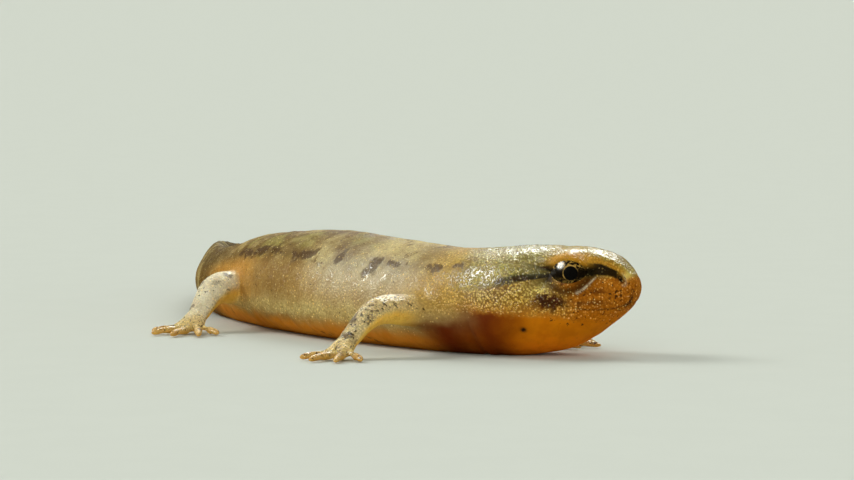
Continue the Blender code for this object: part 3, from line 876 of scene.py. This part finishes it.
def head_pattern(points, along, side, height):
    """The head. Bands follow the heights of the mouth, the eye and the nostril: a granular olive
    crown, a dark band through the eye, golden cheeks that break up into the orange throat."""
    wander = layered_noise(points, 1.5, 31)
    fine = layered_noise(points, 0.40, 35)
    crisp = layered_noise(points, 0.20, 39)
    rise = height + 0.07 * wander + 0.08 * fine + 0.07 * crisp
    skin = Pattern(
        len(points), BACK_GREEN, granules=0.65, specks=0.3, blotches=0.45, grain=1.0, wet=1.0
    )
    lay = skin.lay
    lay(0.7 * ease(wander + 0.6 * fine, -0.3, 0.5), BACK_PALE)
    lay(0.6 * ease(fine + crisp - 0.4 * wander, 0.1, 0.5) * ease(along, 5.0, 7.0), BACK)
    # The muzzle: a wet ridge over a duller, warmer side.
    face = ease(along, 6.2, 4.6)
    lay(0.9 * face, BROW, granules=0.45, grain=1.0, blotches=0.25, wet=0.25)
    ridge = rise - line_at(CANTHUS, along)
    muzzle = ease(along + 0.3 * wander, 3.4, 2.6)
    lay(face * muzzle * ease(ridge, -0.15, 0.10), wet=0.85)
    lay(face * hump(ridge - 0.04, 0.10), wet=0.9, grain=0.6)
    lay(0.85 * face * ease(ridge, 0.0, -0.18), BROW_LOW, grain=0.6, wet=0.15)
    # The golden cheek, the orange lip and the dark patches on them.
    band_low = line_at(BAND_LOW, along)
    band_high = line_at(BAND_HIGH, along)
    cheek = ease(rise - band_low, 0.10, -0.05)
    lay(cheek, CHEEK, granules=0.90, grain=0.9, specks=0.25, blotches=0.42, wet=0.50)
    lay(1.1 * blot(along, rise, (5.8, 4.22), 0.75, 0.40), GOLD, granules=1.0, blotches=0.0, wet=0.8)
    lay(0.6 * blot(along, rise, (8.3, 3.85), 0.8, 0.6), CREAM, granules=0.9, wet=0.9)
    lip = ease(along + 0.5 * wander, 5.0, 3.6) * ease(rise, 4.95, 4.6)
    lay(lip, LIP, granules=0.45, grain=0.6, specks=0.5, blotches=0.42, wet=0.15)
    patch = blot(along + 0.8 * fine, rise + 0.30 * crisp, (5.0, 3.32), 1.10, 0.48)
    lay(1.2 * ease(patch, 0.10, 0.90), MAROON, granules=0.45, blotches=0.8, wet=0.3)
    for place, length in (((2.4, 3.30), 1.0), ((2.2, 3.98), 0.5)):
        lay(0.7 * blot(along, rise, place, length, 0.17), MAROON, blotches=0.6)
    lay(0.7 * blot(along, rise, (1.2, 3.70), 0.5, 0.40), specks=0.85, blotches=0.55)
    # The dark band, granular and fading behind the eye and plain before it.
    dark = between(rise, band_low, band_high, 0.05) * ease(along, 0.9, 1.2)
    fade = ease(along + 0.5 * wander + 0.8 * crisp, 9.2, 6.2)
    behind = ease(along, 4.2, 5.2)
    lay(0.97 * dark * fade * behind, STRIPE, granules=0.50, specks=0.0, blotches=0.6, wet=0.8)
    lay(0.97 * dark * (1 - behind), LOREAL, granules=0.2, specks=0.0, blotches=0.0, wet=0.15)
    lay(0.60 * blot(along, rise, (0.60, 4.88), 0.22, 0.26), GOLD, granules=0.0)
    # The lids, the eye's two corners and a painted highlight along the fold under it.
    lids = hump(np.hypot(0.9 * (along - EYE_ALONG), height - EYE_HEIGHT) - 1.05, 0.30)
    lower = ease(height - EYE_HEIGHT, 0.1, -0.35)
    lay(0.9 * lids * lower, LID, granules=0.2, blotches=0.3, wet=0.05)
    lay(0.6 * lids * ease(height - EYE_HEIGHT, 0.2, 0.6), BROW_LOW, granules=0.1, specks=0.0)
    lay(0.7 * blot(along, height, (3.15, 4.45), 0.50, 0.34), LID, granules=0.1, wet=0.0)
    for end, rise_by, tall in ((-1.30, 0.05, 0.34), (1.40, -0.05, 0.62)):
        corner = blot(along, height, (EYE_ALONG + end, EYE_HEIGHT + rise_by), 0.50, tall)
        lay(1.2 * corner, STRIPE, granules=0.1, grain=0.3, wet=0.0)
    # Painted highlight: a thin pale broken line along the wet fold under the eye.
    crease = hump(height - line_at(EYE_FOLD, along) + 0.09, 0.060) * ease(crisp, -0.9, -0.1)
    lay(0.90 * crease * between(along, 2.35, 3.40, 0.12), PAINTED_HIGHLIGHT, granules=0.0, wet=1.0)
    # The throat: orange, with painted light below and painted shade at the back, speckled near the
    # cheek.
    edge = height - line_at(THROAT_LINE, along) + 0.14 * wander + 0.20 * fine + 0.20 * crisp
    bare = ease(edge, 0.9, 0.0)
    lay(0.55 * bare * ease(along, 3.8, 5.0), granules=0.30, blotches=0.55)
    lay(0.5 * bare, THROAT)
    throat = ease(edge, 0.20, -0.30)
    lay(throat, THROAT, **CLEAR, grain=0.15, wet=0.08)
    lay(0.8 * throat * ease(edge, -0.9, -0.2) * ease(along, 7, 5), specks=0.7)
    # Painted light brightens the throat's underside, and painted shade darkens its back to red-brown.
    lay(0.9 * throat * ease(height + 0.3 * wander, 1.8, 0.4), THROAT_PAINTED_LIGHT)
    lay(0.95 * throat * ease(along + 0.4 * wander, 5.4, 8.0), THROAT_PAINTED_SHADE)
    # The mouth's line, a spot on the right of the throat, and the nostril: a painted highlight on its
    # front rim and painted shade in its pit.
    mouth = height - line_at(MOUTH, along)
    broken = ease(fine + 0.5, 0.0, 0.7)
    lay(0.6 * broken * hump(mouth, 0.055) * ease(along, 5.4, 4.6), UMBER)
    lay(1.6 * blot(along, height, (6.4, 1.70), 0.13, 0.13) * (side < 0), UMBER)
    pit = nostril_gap(along, height)
    # Painted highlight on the nostril's front rim.
    rim_highlight = hump(pit - 0.27, 0.06) * ease(NOSTRIL[0] - along, -0.05, 0.20)
    lay(0.35 * rim_highlight, PAINTED_HIGHLIGHT, wet=1.0)
    # Painted shade in the nostril's pit.
    lay(1.4 * hump(pit, 0.17), UMBER, wet=0.3)
    return skin


def leg_pattern(points, limb, under):
    """The legs: golden brown with dark netting above, orange beneath, paler at the toes."""
    fine = layered_noise(points, 0.45, 41)
    skin = Pattern(
        len(points), LEG_TOP, granules=0.45, specks=0.60, blotches=0.52, grain=1.0, wet=1.0
    )
    lay = skin.lay
    lay(0.4 * ease(fine, 0.1, 0.5), BACK)
    beneath = ease(under + 0.25 * fine, -0.15, 0.40)
    lay(beneath, LEG_UNDER, granules=0.0, specks=0.1, blotches=0.0, wet=0.2)
    lay(0.35 * ease(limb, 0.6, 0.3), LEG_UNDER, blotches=0.3)
    lay(0.6 * ease(limb, 2.1, 2.7), DIGIT, granules=0.1, blotches=0.4, grain=0.5, wet=0.3)
    return skin


def skin_pattern(points, facts):
    """The trunk's pattern, with the head's and the legs' laid over its ends."""
    along, side, height, down, limb, under = facts.T
    skin = trunk_pattern(points, along, down)
    lay = skin.lay
    wander = layered_noise(points, 1.2, 47)
    head = head_pattern(points, along, side, height)
    skin.cover(ease(along + 0.5 * wander, 10.4, 8.2), head)
    skin.cover(ease(limb, 0.02, 0.30), leg_pattern(points, limb, under))
    hind = ease(limb, 0.02, 0.30) * (along > 20)
    lay(0.95 * hind, wet=0.15)
    # Painted highlights: the legs' upper sides painted pale, strongly on the hind legs and more
    # faintly on the forelegs.
    bare = ease(limb, 2.0, 0.8) * ease(under, 0.2, -0.3)
    lay(0.84 * hind * bare, THIGH_PAINTED_HIGHLIGHT, granules=0.25, specks=0.40, blotches=0.45)
    lay(0.40 * ease(limb, 0.02, 0.30) * (along <= 20) * bare, PAINTED_HIGHLIGHT)
    return skin


# --- meshes


def put_in_scene(name, data):
    """An object of a mesh, a light or a camera."""
    made = bpy.data.objects.new(name, data)
    bpy.context.scene.collection.objects.link(made)
    return made


def new_mesh(name, points, faces):
    """A smooth-shaded mesh object from points in mm and lists of point numbers."""
    mesh = bpy.data.meshes.new(name)
    mesh.from_pydata((points * MM).tolist(), [], faces)
    mesh.polygons.foreach_set("use_smooth", np.ones(len(mesh.polygons), bool))
    mesh.update()
    return put_in_scene(name, mesh)


def set_attribute(item, name, values):
    """Stores a number or a colour for each point of a mesh."""
    values = np.asarray(values, np.float32)
    if values.ndim == 1:
        item.data.attributes.new(name, "FLOAT", "POINT").data.foreach_set("value", values)
        return
    alpha = np.ones((len(values), 1), np.float32)
    layer = item.data.attributes.new(name, "FLOAT_COLOR", "POINT")
    layer.data.foreach_set("color", np.hstack([values, alpha]).ravel())


SMOOTHING, POINT_ROUNDS, FACT_ROUNDS = 0.7, 40, 12


def make_skin():
    """The whole skin as one closed mesh, with its colours stored at its points."""
    skin = Skin()
    grid, whole = body_grid()
    numbers = skin.add(grid, **whole)
    keep = np.ones((len(grid) - 1, COLUMNS), bool)
    for leg in LEGS:
        grow_leg(skin, grid, numbers, leg, keep)
    skin.strip(numbers, keep)
    for row, place, height in ((0, 0.0, SNOUT_HEIGHT), (-1, TOTAL_LENGTH, TIP_HEIGHT)):
        x, y = spine(place)
        skin.cap(numbers[row], (x, y, height), along=place, height=height, down=0.5)
    points, facts = np.concatenate(skin.points), np.concatenate(skin.facts)
    quads, triangles = np.concatenate(skin.quads), np.concatenate(skin.triangles)
    quads, triangles, used = drop_unused(quads, triangles, len(points))
    points, facts = points[used], facts[used]
    quads, triangles = face_outwards(quads, triangles, points)
    edges = edges_of(quads, triangles)
    loose = looseness(points, skin.seams)
    points = relax(points, edges, SMOOTHING * loose, POINT_ROUNDS)
    points[:, 2] = np.maximum(points[:, 2], 0)
    before_toes = facts[:, Skin.FACTS.index("limb")] < 1.5
    facts = relax(facts, edges, loose * before_toes, FACT_ROUNDS)
    points = carve(points, facts, normals_of(points, quads, triangles))
    made = new_mesh("skin", points, quads.tolist() + triangles.tolist())
    pattern = skin_pattern(points, facts)
    set_attribute(made, "paint", pattern.colour)
    for name, amount in pattern.amounts.items():
        set_attribute(made, name, amount)
    return made


def drop_unused(quads, triangles, count):
    """Leaves out the points that no face uses, and numbers the rest afresh."""
    used = np.unique(np.concatenate([quads.ravel(), triangles.ravel()]))
    fresh = np.full(count, -1)
    fresh[used] = np.arange(len(used))
    return fresh[quads], fresh[triangles], used


def face_outwards(quads, triangles, points):
    """Faces turned so that neighbours agree and all point outwards."""
    mesh = bpy.data.meshes.new("check")
    mesh.from_pydata(points.tolist(), [], quads.tolist() + triangles.tolist())
    work = bmesh.new()
    work.from_mesh(mesh)
    bmesh.ops.recalc_face_normals(work, faces=work.faces)
    faces = [[v.index for v in face.verts] for face in work.faces]
    work.free()
    bpy.data.meshes.remove(mesh)
    return tuple(np.array([face for face in faces if len(face) == sides]) for sides in (4, 3))


# --- eyes

GAZE_FORWARD, GAZE_UP = 12.0, 4.0  # the way that the pupils point, in degrees from straight out
CORNEA_RISE, CORNEA_WIDTH = 0.06, 0.45
EYE_RINGS, EYE_COLUMNS = 71, 120
PUPIL, RING = 0.355, 0.050  # the pupil's radius and its ring's width, on a ball of radius 1


def eye_axes(label):
    """The eye's forward, upward and outward directions."""
    out = -1.0 if label == "right" else 1.0
    yaw, pitch = math.radians(GAZE_FORWARD), math.radians(GAZE_UP)
    level = math.cos(pitch)
    gaze = np.array([math.sin(yaw) * level, out * math.cos(yaw) * level, math.sin(pitch)])
    forward = np.array([math.cos(yaw), -out * math.sin(yaw), 0.0])
    return forward, np.cross(gaze, forward) * -out, gaze


def make_eye(label):
    """An eyeball: a ball of rings round its line of sight, with a low bell-shaped cornea. It
    stores at each point its direction along the eye's own axes, which mirror the other eye's."""
    forward, up, gaze = eye_axes(label)
    polar = np.linspace(0, math.pi, EYE_RINGS + 2)[1:-1, None]
    turns = np.linspace(0, 2 * math.pi, EYE_COLUMNS, endpoint=False)
    x, y = np.sin(polar) * np.cos(turns), np.sin(polar) * np.sin(turns)
    z = np.broadcast_to(np.cos(polar), x.shape)
    local = np.concatenate([np.stack([x, y, z], axis=-1).reshape(-1, 3), [[0, 0, 1], [0, 0, -1]]])
    radius = EYE_RADIUS + CORNEA_RISE * hump(np.arccos(np.clip(local[:, 2], -1, 1)), CORNEA_WIDTH)
    axes = np.stack([forward, up, gaze])
    points = EYE_CENTRES[label] + (local * radius[:, None]) @ axes
    rows = np.arange(EYE_RINGS * EYE_COLUMNS).reshape(EYE_RINGS, EYE_COLUMNS)
    after = np.roll(rows, -1, axis=1)
    quads = np.stack([rows[:-1], rows[1:], after[1:], after[:-1]], axis=-1).reshape(-1, 4)
    front = np.stack([rows[0], after[0], np.full(EYE_COLUMNS, rows.size)], axis=-1)
    rear = np.stack([after[-1], rows[-1], np.full(EYE_COLUMNS, rows.size + 1)], axis=-1)
    faces = quads.tolist() + front.tolist() + rear.tolist()
    if label == "left":
        faces = [face[::-1] for face in faces]
    made = new_mesh(f"eyeball_{label}", points, faces)
    set_attribute(made, "gaze", local)
    return made


# --- materials


class Recipe:
    """A material's or the world's nodes, made one by one. A socket given where a number could
    be is linked."""

    def __init__(self, owner, shader="Principled BSDF"):
        owner.use_nodes = True
        self.owner, self.tree = owner, owner.node_tree
        self.shader = self.tree.nodes[shader]
        self.places = self.node("ShaderNodeTexCoord").outputs

    def node(self, kind, inputs=(), **settings):
        made = self.tree.nodes.new(kind)
        for name, value in settings.items():
            setattr(made, name, value)
        for socket, value in dict(inputs).items():
            self.give(made.inputs[socket], value)
        return made

    def give(self, socket, value):
        if isinstance(value, bpy.types.NodeSocket):
            self.tree.links.new(value, socket)
        elif socket.type == "RGBA" and len(value) == 3:
            socket.default_value = (*value, 1)
        else:
            socket.default_value = value

    def stored(self, name, output="Fac"):
        return self.node("ShaderNodeAttribute", attribute_name=name).outputs[output]

    def sum(self, operation, a, b=0.0, c=0.0, clamp=False):
        made = self.node("ShaderNodeMath", {0: a, 1: b, 2: c}, operation=operation, use_clamp=clamp)
        return made.outputs[0]

    def ramp(self, value, low, high, bottom=0.0, top=1.0):
        """From bottom where the value is low to top where it is high, eased."""
        inputs = {0: value, 1: low, 2: high, 3: bottom, 4: top}
        return self.node("ShaderNodeMapRange", inputs, interpolation_type="SMOOTHSTEP").outputs[0]

    def noise(self, size, detail=2.0, rough=0.5):
        """Clouds of about that size in mm, mostly from 0.3 to 0.7."""
        inputs = {"Scale": 1 / (size * MM), "Detail": detail, "Roughness": rough}
        inputs["Vector"] = self.places["Object"]
        return self.node("ShaderNodeTexNoise", inputs).outputs["Fac"]

    def grains(self, size, stir):
        """Cells of about that size, their edges stirred by noise of half the size."""
        inputs = {"Vector": self.places["Object"], "Scale": 2 / (size * MM), "Detail": 1.0}
        drift = self.node("ShaderNodeTexNoise", inputs).outputs["Color"]
        inputs = {0: drift, 1: (0.5, 0.5, 0.5)}
        drift = self.node("ShaderNodeVectorMath", inputs, operation="SUBTRACT").outputs[0]
        inputs = {0: drift, 1: (stir * size * MM,) * 3, 2: self.places["Object"]}
        place = self.node("ShaderNodeVectorMath", inputs, operation="MULTIPLY_ADD").outputs[0]
        return self.node("ShaderNodeTexVoronoi", {"Vector": place, "Scale": 1 / (size * MM)})

    def mix(self, share, a, b, blend="MIX"):
        inputs = {0: share, 6: a, 7: b}
        return self.node("ShaderNodeMix", inputs, data_type="RGBA", blend_type=blend).outputs[2]

    def finish(self, **values):
        """Sets the shader's sockets, written with _ for a space, and returns the owner."""
        for name, value in values.items():
            self.give(self.shader.inputs[name.replace("_", " ")], value)
        return self.owner


GRANULE_SIZE, SPECK_SIZE, BLOTCH_SIZE, BUMP_DEPTH = 0.135, 0.24, 1.3, 0.050
GRANULE_WARM, GRANULE_PALE = paint(246, 196, 88), paint(255, 240, 168)
SPECK_BROWN, BLOTCH_BROWN = paint(46, 26, 10), paint(74, 42, 14)
MOTTLE, GRANULE_LIFT, GAP_SHADE = (0.62, 0.48, 0.32), (2.2, 2.1, 1.8), (0.26, 0.15, 0.07)
IRIS_DARK, IRIS_GOLD, RING_GOLD = paint(24, 16, 6), paint(176, 136, 62), paint(190, 150, 78)
PUPIL_BLACK = (0.004, 0.0035, 0.003)


def skin_material():
    """Moist newt's skin: the stored colours, mottled, with golden grains and dark specks, fine
    bumps, a soft glow from within and a thin wet film."""
    r = Recipe(bpy.data.materials.new("newt skin"))
    colour = r.stored("paint", "Color")
    names = ("granules", "specks", "blotches", "grain", "wet")
    granules, specks, blotches, grain, wet = (r.stored(name) for name in names)
    mottle = r.noise(0.9, 3.0, 0.6)
    colour = r.mix(r.ramp(mottle, 0.40, 0.65, 0.0, 0.35), colour, MOTTLE, "MULTIPLY")
    stain = r.sum("SUBTRACT", r.noise(BLOTCH_SIZE, 5.0, 0.62), r.ramp(blotches, 0.0, 1.0, 0.74, 0.42))
    colour = r.mix(r.ramp(stain, -0.03, 0.07, 0.0, 0.72), colour, BLOTCH_BROWN)
    cells = r.grains(GRANULE_SIZE, stir=0.60)
    apart = cells.outputs["Distance"]
    crown = r.ramp(apart, 0.55, 0.18)
    chance = r.node("ShaderNodeSeparateColor", {0: cells.outputs["Color"]})
    chosen = r.ramp(r.sum("SUBTRACT", granules, chance.outputs[0]), 0.0, 0.10)
    gaps = r.sum("MULTIPLY", granules, r.ramp(apart, 0.40, 0.66, 0.0, 0.90))
    shine = r.sum("MULTIPLY", chosen, r.ramp(chance.outputs[1], 0.0, 1.0, 0.15, 0.85))
    bead = r.mix(chance.outputs[2], GRANULE_WARM, GRANULE_PALE)
    bead = r.mix(0.4, bead, r.mix(1.0, colour, GRANULE_LIFT, "MULTIPLY"))
    colour = r.mix(gaps, colour, GAP_SHADE, "MULTIPLY")
    colour = r.mix(r.sum("MULTIPLY", crown, shine), colour, bead)
    blotch = r.sum("SUBTRACT", r.noise(SPECK_SIZE, 3.0, 0.6), r.ramp(specks, 0.0, 1.0, 0.74, 0.50))
    colour = r.mix(r.ramp(blotch, -0.015, 0.035, 0.0, 0.85), colour, SPECK_BROWN)
    fine = r.noise(0.09, 3.0, 0.6)
    raised = r.sum("MULTIPLY", r.ramp(apart, 0.70, 0.10), grain)
    height = r.sum("ADD", raised, r.sum("MULTIPLY", fine, 0.30))
    inputs = {"Height": height, "Distance": BUMP_DEPTH * MM}
    normal = r.node("ShaderNodeBump", inputs).outputs["Normal"]
    return r.finish(
        Base_Color=colour,
        Roughness=r.sum("MULTIPLY_ADD", wet, -0.28, r.ramp(mottle, 0.3, 0.7, 0.66, 0.80)),
        Normal=normal,
        Coat_Normal=normal,
        Coat_Weight=r.sum("MULTIPLY", wet, r.ramp(r.noise(0.6, 3.0), 0.35, 0.60, 0.35, 1.0)),
        Coat_Roughness=0.10,
        Coat_IOR=1.40,
        Specular_IOR_Level=0.05,
        Subsurface_Weight=0.10,
        Subsurface_Radius=(1.0, 0.4, 0.15),
        Subsurface_Scale=0.4 * MM,
        IOR=1.42,
    )


def eye_material():
    """A wet eye: a black pupil with a thin golden ring, and a dark iris flecked with gold over
    and under a black band that crosses it."""
    r = Recipe(bpy.data.materials.new("newt eye"))
    gaze = r.node("ShaderNodeSeparateXYZ", {0: r.stored("gaze", "Vector")})
    forward, up = gaze.outputs[0], gaze.outputs[1]
    square = r.sum("ADD", r.sum("MULTIPLY", forward, forward), r.sum("MULTIPLY", up, up))
    out = r.sum("SQRT", square)
    flecks = r.ramp(r.noise(0.16, 3.0, 0.65), 0.44, 0.62)
    above = r.ramp(up, 0.12, 0.34)
    below = r.ramp(up, -0.18, -0.42, 0.0, 0.5)
    gold = r.sum("MULTIPLY", flecks, r.sum("ADD", above, below, clamp=True))
    colour = r.mix(gold, IRIS_DARK, IRIS_GOLD)
    inner = r.ramp(out, PUPIL - 0.02, PUPIL + 0.01)
    ring = r.sum("MULTIPLY", inner, r.ramp(out, PUPIL + RING + 0.015, PUPIL + RING - 0.015))
    worn = r.ramp(r.sum("MULTIPLY_ADD", forward, -0.9, up), -0.35, 0.25, 0.0, 0.85)
    worn = r.sum("MULTIPLY", worn, r.ramp(r.noise(0.25), 0.40, 0.55, 0.35, 1.0))
    colour = r.mix(r.sum("MULTIPLY", ring, worn), colour, RING_GOLD)
    colour = r.mix(r.ramp(out, PUPIL + 0.004, PUPIL - 0.008), colour, PUPIL_BLACK)
    return r.finish(
        Base_Color=colour,
        Roughness=0.5,
        Specular_IOR_Level=0.0,
        Coat_Weight=1.0,
        Coat_Roughness=0.20,
        Coat_IOR=1.33,
    )


# --- stage, lights and camera

VIEW_TURN, VIEW_RISE, VIEW_DISTANCE, LENS = 12.0, 3.5, 260.0, 185.0
SNOUT_RIGHT, SNOUT_UP = 12.67, -6.87  # where the snout's foot is from the view's middle, in mm
HORIZON_LIGHT, OVERHEAD_LIGHT, SKY_TINT = 0.686, 0.36, (0.945, 1.0, 0.875)
SUN_TINT = (0.96, 1.0, 0.94)
FLOOR_REACH, FLOOR_DROP = 6000.0, 0.005
FLOOR_DARK, FLOOR_LIGHT = (0.612, 0.622, 0.590), (0.618, 0.628, 0.596)


def view_directions():
    """The camera's right, forward and upward directions."""
    turn, rise = math.radians(VIEW_TURN), math.radians(VIEW_RISE)
    right = level_way(turn)
    level = math.cos(rise)
    ahead = np.array([-right[1] * level, right[0] * level, -math.sin(rise)])
    return right, ahead, np.cross(right, ahead)


def make_camera():
    """A long lens close to the floor. The point on the floor under the snout lies at set
    distances to the right of the view's middle and below it."""
    right, ahead, up = view_directions()
    between_eyes = (EYE_CENTRES["right"] + EYE_CENTRES["left"]) / 2
    under_snout = between_eyes * [1, 1, 0] + [EYE_ALONG, 0, 0]
    centre = under_snout - SNOUT_RIGHT * right - SNOUT_UP * up
    data = bpy.data.cameras.new("camera")
    data.lens = LENS
    data.sensor_width = 36.0
    data.clip_start, data.clip_end = 0.01, 50.0
    made = put_in_scene("camera", data)
    made.location = Vector((centre - VIEW_DISTANCE * ahead) * MM)
    made.rotation_euler = Vector(ahead).to_track_quat("-Z", "Y").to_euler()
    bpy.context.scene.camera = made


def make_sun(name, toward, spread, power, seen):
    """A broad soft light from far off. It shines from the direction given, over that many
    degrees of sky. One seen in the gloss shows only as a highlight, and one seen on what is
    matt shows no highlight."""
    data = bpy.data.lights.new(name, "SUN")
    data.color = SUN_TINT
    data.energy, data.angle = power, math.radians(spread)
    made = put_in_scene(name, data)
    made.rotation_euler = Vector(toward).to_track_quat("Z", "Y").to_euler()
    made.visible_diffuse = seen != "gloss"
    made.visible_glossy = seen != "matt"


def make_floor():
    """A wide pale floor, a hair under the model."""
    x, y = np.meshgrid([-FLOOR_REACH, FLOOR_REACH], [-FLOOR_REACH, FLOOR_REACH])
    points = np.stack([x, y, np.full_like(x, -FLOOR_DROP)], axis=-1).reshape(-1, 3)
    floor = new_mesh("floor", points, [(0, 1, 3, 2)])
    r = Recipe(bpy.data.materials.new("pale floor"))
    colour = r.mix(r.ramp(r.noise(4.0), 0.3, 0.7), FLOOR_DARK, FLOOR_LIGHT)
    paper = r.finish(Base_Color=colour, Roughness=0.9, Specular_IOR_Level=0.0)
    floor.data.materials.append(paper)
    floor.visible_glossy = False


def make_world():
    """Even pale light from all round, as bright at the horizon as the floor is and dimmer
    overhead, and plain tones in the picture."""
    bpy.context.scene.view_settings.view_transform = "Standard"
    world = bpy.data.worlds.new("studio")
    bpy.context.scene.world = world
    world.cycles_visibility.glossy = False
    r = Recipe(world, "Background")
    rise = r.node("ShaderNodeSeparateXYZ", {0: r.places["Generated"]}).outputs["Z"]
    r.finish(Color=SKY_TINT, Strength=r.ramp(rise, 0.03, 0.60, HORIZON_LIGHT, OVERHEAD_LIGHT))


# --- putting it together

make_camera()
make_world()
make_floor()
make_sun("window", (-0.77, 0.16, 0.61), 26, 1.5, seen="matt")
make_sun("behind", (0.10, 0.72, 0.68), 40, 1.2, seen="matt")
make_sun("front", (0.20, -0.86, 0.47), 60, 0.95, seen="matt")
make_sun("window shine", (-0.73, -0.22, 0.65), 36, 11.0, seen="gloss")
make_sun("top shine", (-0.05, 0.86, 0.51), 24, 2.6, seen="gloss")

skin = make_skin()
skin.data.materials.append(skin_material())
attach(skin, "root")
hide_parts(*[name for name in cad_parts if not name.startswith("eye_")])
wet_eye = eye_material()
for label in ("right", "left"):
    eye = make_eye(label)
    eye.data.materials.append(wet_eye)
    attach(eye, "root")
    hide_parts(f"eye_{label}")
